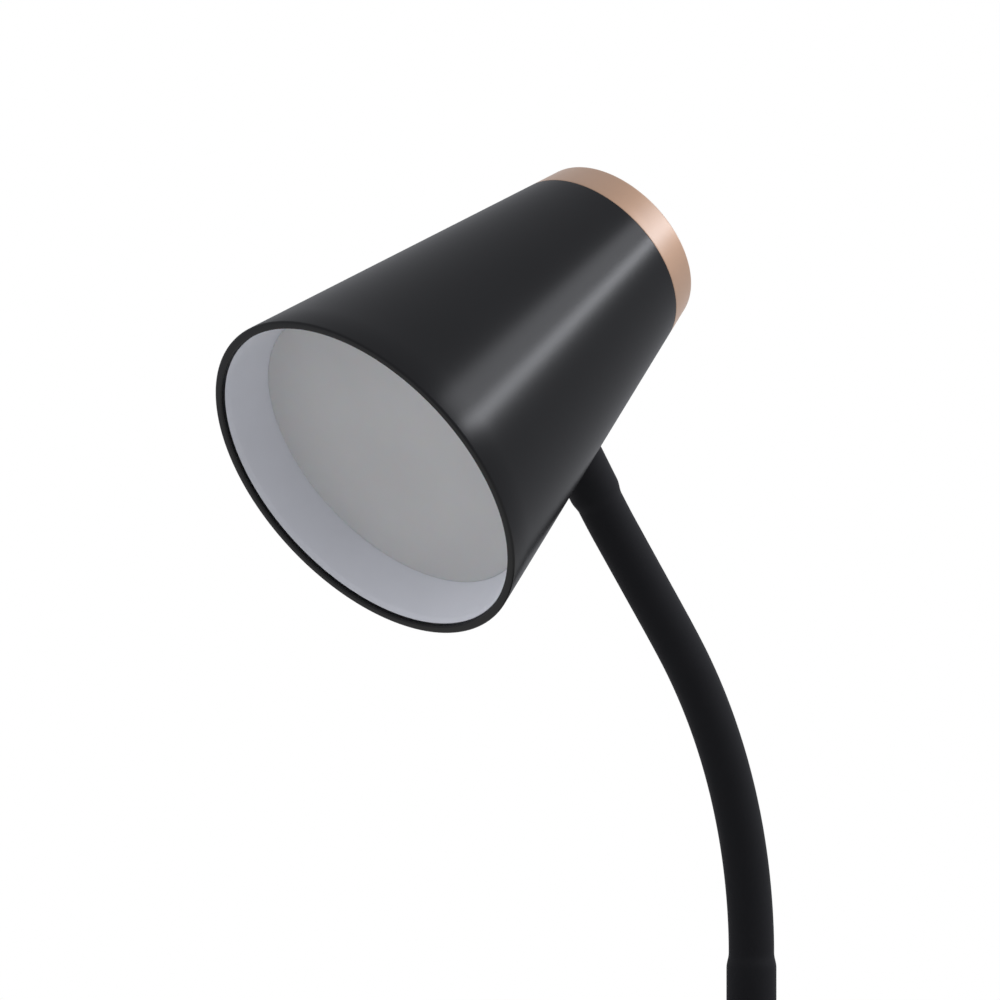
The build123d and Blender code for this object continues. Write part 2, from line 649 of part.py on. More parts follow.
def base_parts() -> dict[str, Part]:
    """Everything in and on the base."""
    top = weight_pocket_top()
    pad = rod(PAD_RADIUS, 0, PAD_THICKNESS)
    plate_screw = Rot(180, 0, 0) * countersunk_screw(
        PLATE_SCREW_RADIUS, PLATE_SCREW_LENGTH, PLATE_SCREW_HEAD
    )
    board_screw = Rot(180, 0, 0) * screw(
        BOARD_SCREW_RADIUS, BOARD_SCREW_LENGTH, BOARD_SCREW_HEAD, BOARD_SCREW_HEAD_HEIGHT
    )
    return {
        "foot_pad": pad,
        "base_plate": base_plate(),
        "plate_screws": group(
            [Pos(x, y, PAD_THICKNESS) * plate_screw for x, y, _ in plate_screw_places()]
        ),
        "base_weight": base_weight(),
        "base_cover": base_cover(),
        "base_washer": tube(WASHER_RADIUS, THREAD_HOLE, top - WASHER_THICKNESS, top),
        "base_nut": nut(top - WASHER_THICKNESS - NUT_THICKNESS),
        "control_board": control_board(),
        "board_screws": group(
            [Pos(x, BUTTON_Y, BOARD_BOTTOM) * board_screw for x in board_screw_places()]
        ),
        "driver_parts": driver_parts(),
        "push_switch": push_switch(),
        "switch_plunger": switch_plunger(),
        "switch_button": switch_button(),
        "dc_jack": dc_jack(),
        "base_leads": base_leads(),
    }


# ---------------------------------------------------------------- head, built upright
def shade_cone() -> Part:
    """The solid cone inside the shade's outer surface."""
    return turned((0, 0), (MOUTH_RADIUS, 0), (SHADE_END_RADIUS, SHADE_LENGTH), (0, SHADE_LENGTH))


def toward_neck(radius: float, near: float, far: float) -> Part:
    """A cylinder on the neck's axis, between two distances from the head's axis."""
    lying = Cylinder(radius, far - near, align=(Align.CENTER, Align.CENTER, Align.MIN))
    return Pos(0, near, NECK_ENTRY) * Rot(-90, 0, 0) * lying


def sink_screw_places() -> list[tuple[float, float, float]]:
    """Where the heat sink's screws stand, clear of the neck's boss."""
    return around(SINK_SCREW_COUNT, SINK_SCREW_CIRCLE, -90)


def shade() -> Part:
    """Moulded shade: cone, lip, back wall, locating ring, neck boss and screw bosses."""
    back = SHADE_LENGTH - SHADE_BACK_THICKNESS
    ring_outer = SHADE_END_RADIUS - SHADE_SLOPE * LOCATING_RING_HEIGHT - CAP_WALL - EASY_GAP
    ring_inner = ring_outer - LOCATING_RING_WIDTH
    ring_top = SHADE_LENGTH + LOCATING_RING_HEIGHT
    shell = turned(
        (MOUTH_RADIUS, 0),
        (SHADE_END_RADIUS, SHADE_LENGTH),
        (ring_outer, SHADE_LENGTH),
        (ring_outer, ring_top),
        (ring_inner, ring_top),
        (ring_inner, SHADE_LENGTH),
        (CAP_SCREW_RADIUS + EASY_GAP, SHADE_LENGTH),
        (CAP_SCREW_RADIUS + EASY_GAP, back),
        (shade_bore(back), back),
        (shade_bore(LIP_DEPTH), LIP_DEPTH),
        (MOUTH_RADIUS - LIP_LAND, 0),
    )
    mouth_edge = shell.edges().filter_by(GeomType.CIRCLE).sort_by(SortBy.RADIUS)[-1]
    shell = fillet(mouth_edge, MOUTH_ROUND)
    cone = shade_cone()
    shell += toward_neck(NECK_BOSS_RADIUS, NECK_BOSS_FACE, MOUTH_RADIUS) & cone
    for x, y, _ in sink_screw_places():
        shell += rod(SINK_BOSS_RADIUS, SINK_BACK, SINK_BACK + SINK_BOSS_LENGTH, x, y) & cone
        shell -= rod(
            SINK_SCREW_RADIUS + FIT_GAP, SINK_BACK, SINK_BACK + SINK_SCREW_BITE + EASY_GAP, x, y
        )
    shell -= toward_neck(SLEEVE_END_RADIUS + NECK_POCKET_GAP, NECK_SEAT, MOUTH_RADIUS)
    return shell - toward_neck(THREAD_HOLE, NECK_BOSS_FACE - EASY_GAP, MOUTH_RADIUS)


def rear_cap() -> Part:
    """Turned cap that carries on the shade's slope and closes its rear end."""
    end = SHADE_LENGTH + CAP_LENGTH
    floor = end - CAP_WALL
    inner_floor = CAP_END_RADIUS + SHADE_SLOPE * CAP_WALL - CAP_WALL
    cap = turned(
        (SHADE_END_RADIUS - CAP_WALL, SHADE_LENGTH),
        (SHADE_END_RADIUS, SHADE_LENGTH),
        (CAP_END_RADIUS, end),
        (0, end),
        (0, floor),
        (inner_floor, floor),
    )
    cap = fillet(cap.edges().filter_by(GeomType.CIRCLE).group_by(Axis.Z)[-1], CAP_ROUND)
    cap += rod(CAP_BOSS_RADIUS, SHADE_LENGTH, floor)
    pilot_end = SHADE_LENGTH - SHADE_BACK_THICKNESS + CAP_SCREW_LENGTH + EASY_GAP
    return cap - rod(CAP_SCREW_RADIUS + FIT_GAP, SHADE_LENGTH, pilot_end)


def reflector() -> Part:
    """White moulded reflector: front cone, ledge for the diffuser, light box and screw flange."""
    front = shade_bore(LIP_DEPTH) - REFLECTOR_GAP
    ledge = DIFFUSER_RADIUS + FIT_GAP
    box_front = ledge - LEDGE_WIDTH
    body = turned(
        (front, LIP_DEPTH),
        (shade_bore(BOARD_FRONT) - REFLECTOR_GAP, BOARD_FRONT),
        (REFLECTOR_FLANGE_BORE, BOARD_FRONT),
        (REFLECTOR_FLANGE_BORE, FLANGE_FRONT),
        (box_front - LIGHT_BOX_TAPER, FLANGE_FRONT),
        (box_front, DIFFUSER_BACK),
        (ledge, DIFFUSER_BACK),
        (ledge, DIFFUSER_DEPTH),
        (front - REFLECTOR_FRONT_EDGE, LIP_DEPTH + REFLECTOR_BEVEL),
    )
    for x, y, _ in sink_screw_places():
        body -= rod(SINK_SCREW_RADIUS + FIT_GAP, FLANGE_FRONT, BOARD_FRONT, x, y)
    return body


def led_board() -> Part:
    """Aluminium-cored LED board."""
    board = tube(LED_BOARD_RADIUS, LED_BOARD_HOLE, BOARD_FRONT, SINK_FRONT)
    for x, y, _ in sink_screw_places():
        board -= rod(SINK_SCREW_RADIUS + FIT_GAP, BOARD_FRONT, SINK_FRONT, x, y)
    return board


def led_chips() -> Compound:
    """Rings of LED chips on the board's front."""
    width, length, height = LED_SIZE
    chips = []
    chip = block(width, length, BOARD_FRONT - height, BOARD_FRONT)
    rings = ((LED_OUTER_COUNT, LED_OUTER_CIRCLE), (LED_INNER_COUNT, LED_INNER_CIRCLE))
    for count, radius in rings:
        for x, y, angle in around(count, radius):
            chips.append(Pos(x, y, 0) * Rot(0, 0, angle) * chip)
    return group(chips)


def heat_sink() -> Part:
    """Die-cast heat sink: plate, hub and radial fins."""
    fin_top = SINK_BACK + FIN_HEIGHT
    sink = rod(SINK_RADIUS, SINK_FRONT, SINK_BACK) + rod(SINK_HUB_RADIUS, SINK_FRONT, fin_top)
    for _, _, angle in around(FIN_COUNT, FIN_REACH, 90):
        fin = block(FIN_REACH, FIN_THICKNESS, SINK_BACK - SINK_THICKNESS / 2, fin_top, x=FIN_REACH / 2)
        sink += Rot(0, 0, angle) * fin
    sink -= rod(SINK_BORE, SINK_FRONT, fin_top)
    for x, y, _ in sink_screw_places():
        sink -= rod(SINK_SCREW_RADIUS + FIT_GAP, SINK_FRONT, SINK_BACK, x, y)
    return sink


def head_lead() -> Part:
    """Two-core lead from the neck's thread, through the heat sink's bore, to the LED board."""
    return lead(
        NECK_LEAD_RADIUS,
        HEAD_LEAD_BEND,
        (0, UPPER_THREAD_END, NECK_ENTRY),
        (0, 0, NECK_ENTRY),
        (0, 0, SINK_FRONT + FIT_GAP),
    )


def head_parts() -> dict[str, Part]:
    """Everything in the head, tilted and set on the end of the neck."""
    turn_down = Rot(180, 0, 0)
    sink_screw_length = SINK_BACK - FLANGE_FRONT + SINK_SCREW_BITE
    sink_screw = turn_down * screw(
        SINK_SCREW_RADIUS, sink_screw_length, SINK_SCREW_HEAD, SINK_SCREW_HEAD_HEIGHT
    )
    cap_screw = turn_down * screw(
        CAP_SCREW_RADIUS, CAP_SCREW_LENGTH, CAP_SCREW_HEAD, CAP_SCREW_HEAD_HEIGHT
    )
    on_neck = Pos(0, NECK_BOSS_FACE, NECK_ENTRY) * Rot(90, 0, 0)
    parts = {
        "shade": shade(),
        "rear_cap": rear_cap(),
        "cap_screw": Pos(0, 0, SHADE_LENGTH - SHADE_BACK_THICKNESS) * cap_screw,
        "reflector": reflector(),
        "diffuser": rod(DIFFUSER_RADIUS, DIFFUSER_DEPTH, DIFFUSER_BACK),
        "led_board": led_board(),
        "led_chips": led_chips(),
        "heat_sink": heat_sink(),
        "sink_screws": group([Pos(x, y, FLANGE_FRONT) * sink_screw for x, y, _ in sink_screw_places()]),
        "head_washer": on_neck * tube(WASHER_RADIUS, THREAD_HOLE, 0, WASHER_THICKNESS),
        "head_nut": on_neck * nut(WASHER_THICKNESS),
        "head_lead": head_lead(),
    }
    place = head_plane().location
    return {name: place * part for name, part in parts.items()}


def head_plane() -> Plane:
    """The mouth's plane: its normal points back along the head's axis, and its Y towards the neck."""
    last = neck_planes()[JOINT_COUNT]
    on_axis = last.origin + last.z_dir * (upper_reach() + NECK_SEAT)
    backward = Vector(0, cos(radians(HEAD_PITCH)), sin(radians(HEAD_PITCH)))
    return Plane(origin=on_axis - backward * NECK_ENTRY, x_dir=(1, 0, 0), z_dir=backward)


# ---------------------------------------------------------------- writing the parts
def main() -> None:
    """Builds every piece and writes each to its own file."""
    os.makedirs("parts", exist_ok=True)
    parts = {**base_parts(), **neck_parts(), **head_parts()}
    for name, part in parts.items():
        export_step(part, f"parts/{name}.step")
    print(len(parts), "parts written")


if __name__ == "__main__":
    main()
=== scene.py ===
"""Looks of the gooseneck desk lamp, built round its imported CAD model.

The model is in metres with +Z up, and the head faces -Y. The sizes below are in millimetres, as on
a drawing, and mm() turns them into metres.
"""

import json
import logging
import math
from collections.abc import Callable
from dataclasses import dataclass
from enum import Enum

import bpy
from mathutils import Matrix, Vector

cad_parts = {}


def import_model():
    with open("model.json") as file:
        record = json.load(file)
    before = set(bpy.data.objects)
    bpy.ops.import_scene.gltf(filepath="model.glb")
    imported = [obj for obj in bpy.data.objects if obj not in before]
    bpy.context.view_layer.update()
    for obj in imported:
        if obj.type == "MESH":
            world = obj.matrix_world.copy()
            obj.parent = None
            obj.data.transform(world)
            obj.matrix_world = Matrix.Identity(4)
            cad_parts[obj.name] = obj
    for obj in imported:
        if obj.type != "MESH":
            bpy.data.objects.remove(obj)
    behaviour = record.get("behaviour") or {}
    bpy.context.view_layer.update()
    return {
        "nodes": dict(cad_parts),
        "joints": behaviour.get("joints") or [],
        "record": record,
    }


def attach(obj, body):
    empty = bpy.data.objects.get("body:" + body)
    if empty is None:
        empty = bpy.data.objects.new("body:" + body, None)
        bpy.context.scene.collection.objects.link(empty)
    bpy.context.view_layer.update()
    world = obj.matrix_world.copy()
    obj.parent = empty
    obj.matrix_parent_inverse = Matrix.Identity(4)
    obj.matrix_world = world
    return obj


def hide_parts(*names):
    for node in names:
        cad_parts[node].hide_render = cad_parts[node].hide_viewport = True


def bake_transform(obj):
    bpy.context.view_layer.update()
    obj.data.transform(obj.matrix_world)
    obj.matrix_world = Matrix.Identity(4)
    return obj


LOG = logging.getLogger("desk_lamp")
TURNING_STEPS = 192
SMALL_STEPS = 64
PIN_STEPS = 32
CONE_STEPS = 12
MERGE_MM = 0.002
SMOOTH_ANGLE = math.radians(28)
STRAIGHT_ANGLE = math.radians(0.05)
WHITE = (1.0, 1.0, 1.0, 1.0)


def mm(value: float) -> float:
    """Turns millimetres into metres."""
    return value / 1000


def in_mm(metres: float) -> float:
    """Turns metres into millimetres."""
    return metres * 1000


def linear(hex_colour: str) -> tuple[float, float, float, float]:
    """Turns an sRGB hex colour into linear RGBA, along the sRGB standard's curve.

    Args:
        hex_colour: Six hex digits with a leading #.

    Returns:
        Red, green, blue and an alpha of 1.
    """
    shares = [int(hex_colour[start : start + 2], 16) / 255 for start in (1, 3, 5)]
    red, green, blue = (
        share / 12.92 if share <= 0.04045 else ((share + 0.055) / 1.055) ** 2.4 for share in shares
    )
    return (red, green, blue, 1.0)


def add_node(
    tree: bpy.types.NodeTree,
    kind: str,
    values: dict | None = None,
    links: dict | None = None,
    **settings: object,
) -> bpy.types.Node:
    """Adds a node to a material or world.

    Args:
        tree: The node tree that gets it.
        kind: Blender's name of the node's type.
        values: Input name or number to its fixed value.
        links: Input name or number to the output that feeds it.
        settings: The node's own properties.

    Returns:
        The new node.
    """
    node = tree.nodes.new(kind)
    for name, setting in settings.items():
        setattr(node, name, setting)
    for socket, value in (values or {}).items():
        node.inputs[socket].default_value = value
    for socket, source in (links or {}).items():
        tree.links.new(source, node.inputs[socket])
    return node


# ---------------------------------------------------------------- finishes
PATCH_DETAIL = 3.0
PATCH_SPAN = (0.32, 0.68)
GRAIN_DETAIL = 2.0
SCATTER_REACH_MM = 2.0
RADIANS_PER_WAVE_SCALE = 20.0
RING_DEPTH_MM = 0.02
TRACK_GREEN = "#2f7a45"
TRACK_HEIGHT_MM = 0.035
TRACK_SHARES = {"Mortar Size": 0.06, "Mortar Smooth": 0.1, "Brick Width": 1.6, "Row Height": 0.45}


class Pattern(Enum):
    """What breaks up a surface besides its grain."""

    PLAIN = "plain"
    TURNED = "turned"
    TRACKS = "tracks"


@dataclass(frozen=True)
class Finish:
    """A material, named for what it is and how its surface was made.

    Attributes:
        name: Common name.
        slot: Material slot in the record.
        colour: sRGB hex value of most of the surface.
        second_colour: sRGB hex value that it drifts towards in patches.
        roughness: Lowest and highest roughness, which drift with the same patches.
        grain_mm: Size of one grain of the surface.
        grain_depth_mm: Height of the grain.
        patch_mm: Size of the patches.
        metallic: 1 for a metal.
        specular: Specular level. 0.5 is that of the material's IOR.
        coat: Weight of a clear layer on top.
        coat_roughness: Roughness of that layer.
        coat_ior: How strongly that layer mirrors.
        sheen: Weight of the soft light that a rubbery surface catches at its edges.
        scatter: Weight of the light that spreads inside a milky material.
        pattern: What else breaks up the surface.
        pattern_mm: Spacing of turning rings, or the length that the shares of tracks refer to.
    """

    name: str
    slot: str
    colour: str
    second_colour: str
    roughness: tuple[float, float]
    grain_mm: float
    grain_depth_mm: float
    patch_mm: float = 22.0
    metallic: float = 0.0
    specular: float = 0.5
    coat: float = 0.0
    coat_roughness: float = 0.1
    coat_ior: float = 1.5
    sheen: float = 0.0
    scatter: float = 0.0
    pattern: Pattern = Pattern.PLAIN
    pattern_mm: float = 1.0

    def material(self) -> bpy.types.Material:
        """Builds the node tree.

        Returns:
            The material, or the one already built under this name.
        """
        built = bpy.data.materials.get(self.name)
        if built:
            return built
        material = bpy.data.materials.new(self.name)
        material.use_nodes = True
        tree = material.node_tree
        tree.nodes.clear()
        place = add_node(tree, "ShaderNodeTexCoord").outputs["Object"]
        patches = add_node(
            tree,
            "ShaderNodeTexNoise",
            {"Scale": 1 / mm(self.patch_mm), "Detail": PATCH_DETAIL},
            {"Vector": place},
        ).outputs["Fac"]
        least, most = PATCH_SPAN
        drift = add_node(
            tree, "ShaderNodeMapRange", {"From Min": least, "From Max": most}, {"Value": patches}
        ).outputs["Result"]
        colour = add_node(
            tree,
            "ShaderNodeMix",
            {6: linear(self.colour), 7: linear(self.second_colour)},
            {0: drift},
            data_type="RGBA",
        ).outputs[2]
        low, high = self.roughness
        roughness = add_node(
            tree, "ShaderNodeMapRange", {"To Min": low, "To Max": high}, {"Value": drift}
        ).outputs["Result"]
        grain = add_node(
            tree,
            "ShaderNodeTexNoise",
            {"Scale": 1 / mm(self.grain_mm), "Detail": GRAIN_DETAIL},
            {"Vector": place},
        ).outputs["Fac"]
        bump = add_node(
            tree,
            "ShaderNodeBump",
            {"Strength": 1.0, "Distance": mm(self.grain_depth_mm)},
            {"Height": grain},
        ).outputs["Normal"]
        if self.pattern is not Pattern.PLAIN:
            colour, bump = self.patterned(tree, place, colour, bump)
        shader = add_node(
            tree,
            "ShaderNodeBsdfPrincipled",
            {
                "Metallic": self.metallic,
                "Specular IOR Level": self.specular,
                "Coat Weight": self.coat,
                "Coat Roughness": self.coat_roughness,
                "Coat IOR": self.coat_ior,
                "Sheen Weight": self.sheen,
                "Subsurface Weight": self.scatter,
                "Subsurface Scale": mm(SCATTER_REACH_MM),
            },
            {"Base Color": colour, "Roughness": roughness, "Normal": bump},
        )
        add_node(tree, "ShaderNodeOutputMaterial", links={"Surface": shader.outputs["BSDF"]})
        return material

    def patterned(
        self,
        tree: bpy.types.NodeTree,
        place: bpy.types.NodeSocket,
        colour: bpy.types.NodeSocket,
        bump: bpy.types.NodeSocket,
    ) -> tuple[bpy.types.NodeSocket, bpy.types.NodeSocket]:
        """Adds turning rings or copper tracks.

        Args:
            tree: The material's tree.
            place: Object coordinates.
            colour: The colour so far.
            bump: The normal so far.

        Returns:
            The colour and the normal with the pattern.
        """
        if self.pattern is Pattern.TURNED:
            scale = 2 * math.pi / mm(self.pattern_mm) / RADIANS_PER_WAVE_SCALE
            rings = add_node(
                tree,
                "ShaderNodeTexWave",
                {"Scale": scale, "Distortion": 0.4, "Detail": 1.0},
                {"Vector": place},
                wave_type="RINGS",
                rings_direction="Z",
            ).outputs["Fac"]
            relief, strength, depth = rings, 0.5, RING_DEPTH_MM
        else:
            tracks = add_node(
                tree,
                "ShaderNodeTexBrick",
                {"Scale": 1 / mm(self.pattern_mm), **TRACK_SHARES},
                {"Vector": place},
            ).outputs["Fac"]
            colour = add_node(
                tree,
                "ShaderNodeMix",
                {7: linear(TRACK_GREEN)},
                {0: tracks, 6: colour},
                data_type="RGBA",
            ).outputs[2]
            relief, strength, depth = tracks, 0.6, TRACK_HEIGHT_MM
        raised = add_node(
            tree,
            "ShaderNodeBump",
            {"Strength": strength, "Distance": mm(depth)},
            {"Height": relief, "Normal": bump},
        ).outputs["Normal"]
        return colour, raised


# Moulded ABS, fine spark-eroded tool surface: a deep neutral black whose reflections spread into soft
# streaks along the cone. The real grain is 0.1 mm and is drawn three times as coarse.
SHADE_ABS = Finish(
    name="moulded_satin_abs",
    slot="black_shade",
    colour="#0a0a0c",
    second_colour="#0c0c0e",
    roughness=(0.55, 0.62),
    grain_mm=0.35,
    grain_depth_mm=0.004,
    specular=0.0,
    coat=0.36,
    coat_roughness=0.26,
)

# The same moulding for the base and the button, a little rougher because hands touch it.
COVER_ABS = Finish(
    name="moulded_satin_abs_cover",
    slot="black_cover",
    colour="#0e0e10",
    second_colour="#131315",
    roughness=(0.55, 0.65),
    grain_mm=0.4,
    grain_depth_mm=0.006,
    specular=0.0,
    coat=0.42,
    coat_roughness=0.31,
)

# Extruded silicone rubber sleeve: almost no mirror reflection, only a soft lift of light at its edges.
SLEEVE_RUBBER = Finish(
    name="extruded_silicone_sleeve",
    slot="black_sleeve",
    colour="#232325",
    second_colour="#262628",
    roughness=(0.66, 0.74),
    grain_mm=0.3,
    grain_depth_mm=0.006,
    patch_mm=14.0,
    specular=0.05,
)

# Turned aluminium, bead blasted, anodised rose gold and sealed: an even tan metal under a clear satin
# layer, whose reflection of a lamp is white. The beads leave pits of 0.08 mm, drawn at 0.3 mm.
ROSE_ANODISED = Finish(
    name="bead_blasted_rose_anodised_aluminium",
    slot="rose_metal",
    colour="#a27f62",
    second_colour="#9d7b5e",
    roughness=(0.68, 0.72),
    grain_mm=0.3,
    grain_depth_mm=0.007,
    metallic=1.0,
    coat=0.7,
    coat_roughness=0.4,
    coat_ior=1.88,
)

# Moulded white polycarbonate with a polished tool surface.
REFLECTOR_WHITE = Finish(
    name="moulded_white_polycarbonate",
    slot="white_reflector",
    colour="#eff0f5",
    second_colour="#ecedf2",
    roughness=(0.3, 0.36),
    grain_mm=0.5,
    grain_depth_mm=0.003,
    specular=0.4,
)

# Opal acrylic, frosted on its front: flat and milky, with no image in it.
DIFFUSER_OPAL = Finish(
    name="frosted_opal_acrylic",
    slot="frosted_diffuser",
    colour="#d7d6d4",
    second_colour="#d4d3d1",
    roughness=(0.55, 0.62),
    grain_mm=0.3,
    grain_depth_mm=0.008,
    specular=0.3,
    scatter=0.25,
)

# Zinc-plated steel of screws, nuts and plates: cool grey, slightly mottled by the plating.
ZINC_STEEL = Finish(
    name="zinc_plated_steel",
    slot="steel",
    colour="#b9bcc0",
    second_colour="#a6aab0",
    roughness=(0.26, 0.4),
    grain_mm=0.6,
    grain_depth_mm=0.01,
    patch_mm=9.0,
    metallic=1.0,
)

# Sand-cast iron: dark and grainy, with no clear reflection.
CAST_IRON = Finish(
    name="sand_cast_iron",
    slot="weight_iron",
    colour="#55534f",
    second_colour="#474441",
    roughness=(0.6, 0.8),
    grain_mm=0.9,
    grain_depth_mm=0.12,
    metallic=1.0,
)

# Moulded rubber: matt, slightly grey, with a coarse grip texture.
PAD_RUBBER = Finish(
    name="moulded_foot_rubber",
    slot="pad_rubber",
    colour="#1d1d1e",
    second_colour="#262627",
    roughness=(0.72, 0.85),
    grain_mm=0.8,
    grain_depth_mm=0.05,
    specular=0.25,
    sheen=0.05,
)

# Glass-fibre board under green lacquer: glossy, with lighter copper tracks standing out.
BOARD_LACQUER = Finish(
    name="green_lacquered_circuit_board",
    slot="circuit_board",
    colour="#1f5a33",
    second_colour="#1b5230",
    roughness=(0.28, 0.38),
    grain_mm=0.6,
    grain_depth_mm=0.01,
    coat=0.4,
    pattern=Pattern.TRACKS,
    pattern_mm=4.0,
)

# Aluminium board under white lacquer: bright and even.
BOARD_CORE = Finish(
    name="white_lacquered_aluminium_board",
    slot="board_core",
    colour="#e6e6e2",
    second_colour="#dcdcd8",
    roughness=(0.35, 0.45),
    grain_mm=0.5,
    grain_depth_mm=0.008,
)

# Silicone with phosphor in it, cast over each light chip: yellow and slightly milky.
CHIP_RESIN = Finish(
    name="phosphor_resin",
    slot="chip_resin",
    colour="#e2c23a",
    second_colour="#d8b42e",
    roughness=(0.25, 0.35),
    grain_mm=0.25,
    grain_depth_mm=0.01,
    patch_mm=2.0,
    scatter=0.2,
)

# Moulded nylon: near black, with a dull shine.
MOULDED_BLACK = Finish(
    name="moulded_matt_nylon",
    slot="moulded_black",
    colour="#151516",
    second_colour="#1c1c1e",
    roughness=(0.5, 0.62),
    grain_mm=0.3,
    grain_depth_mm=0.012,
    patch_mm=8.0,
    specular=0.4,
)

# Aluminium as it comes from the die: pale grey with a soft, uneven shine.
CAST_ALUMINIUM = Finish(
    name="die_cast_aluminium",
    slot="cast_aluminium",
    colour="#a9abae",
    second_colour="#9a9ca0",
    roughness=(0.42, 0.56),
    grain_mm=0.7,
    grain_depth_mm=0.03,
    metallic=1.0,
)

# Extruded PVC over the leads: near black and faintly glossy.
LEAD_COVER = Finish(
    name="extruded_pvc_lead",
    slot="lead_cover",
    colour="#18181a",
    second_colour="#202022",
    roughness=(0.38, 0.5),
    grain_mm=0.5,
    grain_depth_mm=0.01,
    patch_mm=6.0,
    specular=0.4,
)

# Turned brass under nickel, on the inlet's pin: warm, bright and ringed by the tool.
NICKEL_PIN = Finish(
    name="nickel_plated_turned_brass",
    slot="steel",
    colour="#cfc9bd",
    second_colour="#c4bdb0",
    roughness=(0.16, 0.24),
    grain_mm=0.3,
    grain_depth_mm=0.004,
    patch_mm=4.0,
    metallic=1.0,
    pattern=Pattern.TURNED,
    pattern_mm=1.571,
)

FINISHES = (
    SHADE_ABS,
    COVER_ABS,
    SLEEVE_RUBBER,
    ROSE_ANODISED,
    REFLECTOR_WHITE,
    DIFFUSER_OPAL,
    ZINC_STEEL,
    CAST_IRON,
    PAD_RUBBER,
    BOARD_LACQUER,
    BOARD_CORE,
    CHIP_RESIN,
    MOULDED_BLACK,
    CAST_ALUMINIUM,
    LEAD_COVER,
)


# ---------------------------------------------------------------- the bench
class Core(Enum):
    """How a turned piece closes on itself."""

    SOLID = "solid"
    HOLLOW = "hollow"


@dataclass(frozen=True)
class Ring:
    """One ring of a turned outline, in millimetres from the axis and along it."""

    radius: float
    height: float


def rounding(centre: Ring, radius: float, start: float, end: float, steps: int = 8) -> list[Ring]:
    """Rings along a rounded edge.

    Args:
        centre: Middle of the rounding.
        radius: Its radius.
        start: First angle in degrees: 0 points away from the axis and 90 up it.
        end: Last angle.
        steps: How many faces the rounding has.

    Returns:
        The rings, ends included.
    """
    angles = [math.radians(start + (end - start) * step / steps) for step in range(steps + 1)]
    return [
        Ring(centre.radius + radius * math.cos(angle), centre.height + radius * math.sin(angle))
        for angle in angles
    ]


def deselect() -> None:
    """Leaves nothing selected."""
    bpy.ops.object.select_all(action="DESELECT")


def pick(piece: bpy.types.Object) -> None:
    """Makes a piece the only selected and the active one.

    Args:
        piece: The piece.
    """
    deselect()
    piece.select_set(True)
    bpy.context.view_layer.objects.active = piece


def settle(piece: bpy.types.Object, place: Matrix | None = None) -> None:
    """Puts a piece in its place and moves that into its mesh.

    Args:
        piece: The piece.
        place: Where it goes, or None where it already stands.
    """
    pick(piece)
    if place is not None:
        piece.matrix_world = place @ piece.matrix_world
    bpy.ops.object.transform_apply(location=True, rotation=True, scale=True)


def close_up(piece: bpy.types.Object) -> None:
    """Merges a mesh's doubles, turns its faces outwards and ends its edit mode.

    Args:
        piece: The piece in edit mode.
    """
    bpy.ops.mesh.select_all(action="SELECT")
    bpy.ops.mesh.remove_doubles(threshold=mm(MERGE_MM))
    bpy.ops.mesh.normals_make_consistent(inside=False)
    bpy.ops.object.mode_set(mode="OBJECT")
    pick(piece)
    bpy.ops.object.shade_smooth_by_angle(angle=SMOOTH_ANGLE)


def turn(name: str, rings: list[Ring], core: Core, steps: int = TURNING_STEPS) -> bpy.types.Object:
    """Turns a piece about Z: a circle is extruded and scaled from ring to ring.

    Args:
        name: The piece's name.
        rings: Its outline. A hollow piece's outline closes on its first ring.
        core: Whether it is solid or an endless wall.
        steps: Sides of the circle.

    Returns:
        The piece, in its place and closed.
    """
    deselect()
    hollow = core is Core.HOLLOW
    first = rings[0]
    bpy.ops.mesh.primitive_circle_add(
        vertices=steps,
        radius=mm(first.radius),
        location=(0, 0, mm(first.height)),
        fill_type="NOTHING" if hollow else "TRIFAN",
    )
    piece = bpy.context.object
    piece.name = name
    bpy.ops.object.mode_set(mode="EDIT")
    bpy.ops.mesh.select_all(action="SELECT")
    last = first
    for ring in [*rings[1:], first] if hollow else rings[1:]:
        bpy.ops.mesh.extrude_region_move(
            TRANSFORM_OT_translate={"value": (0, 0, mm(ring.height - last.height))}
        )
        share = ring.radius / last.radius
        bpy.ops.transform.resize(value=(share, share, 1), center_override=(0, 0, mm(ring.height)))
        last = ring
    close_up(piece)
    settle(piece)
    return piece


class Drilling(Enum):
    """The way a drill stands, as its turn from upright."""

    UPRIGHT = (0.0, 0.0, 0.0)
    LEVEL = (math.pi / 2, 0.0, 0.0)


def drill(
    piece: bpy.types.Object, radius: float, depth: float, middle: tuple[float, float], way: Drilling
) -> None:
    """Drills a round hole in the plane X = 0.

    Args:
        piece: The piece that gets the hole.
        radius: Radius of the hole in millimetres.
        depth: Length of the drill.
        middle: Y and Z of the drill's middle.
        way: How the drill stands.
    """
    along, up = middle
    bpy.ops.mesh.primitive_cylinder_add(
        vertices=SMALL_STEPS,
        radius=mm(radius),
        depth=mm(depth),
        location=(0, mm(along), mm(up)),
        rotation=way.value,
    )
    drill_bit = bpy.context.object
    pick(piece)
    cut = piece.modifiers.new("hole", "BOOLEAN")
    cut.object = drill_bit
    cut.solver = "EXACT"
    bpy.ops.object.modifier_apply(modifier=cut.name)
    bpy.data.objects.remove(drill_bit)


def finish_piece(piece: bpy.types.Object, finish: Finish, body: str, *nodes: str) -> None:
    """Dresses a piece and hangs it on the frame.

    Args:
        piece: The piece.
        finish: What it is made of.
        body: The CAD body that it rides on.
        nodes: The CAD nodes that it stands for.
    """
    dress(piece, finish)
    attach(piece, body)
    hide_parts(*nodes)
    LOG.info("%s: %d faces on %s", piece.name, len(piece.data.polygons), body)


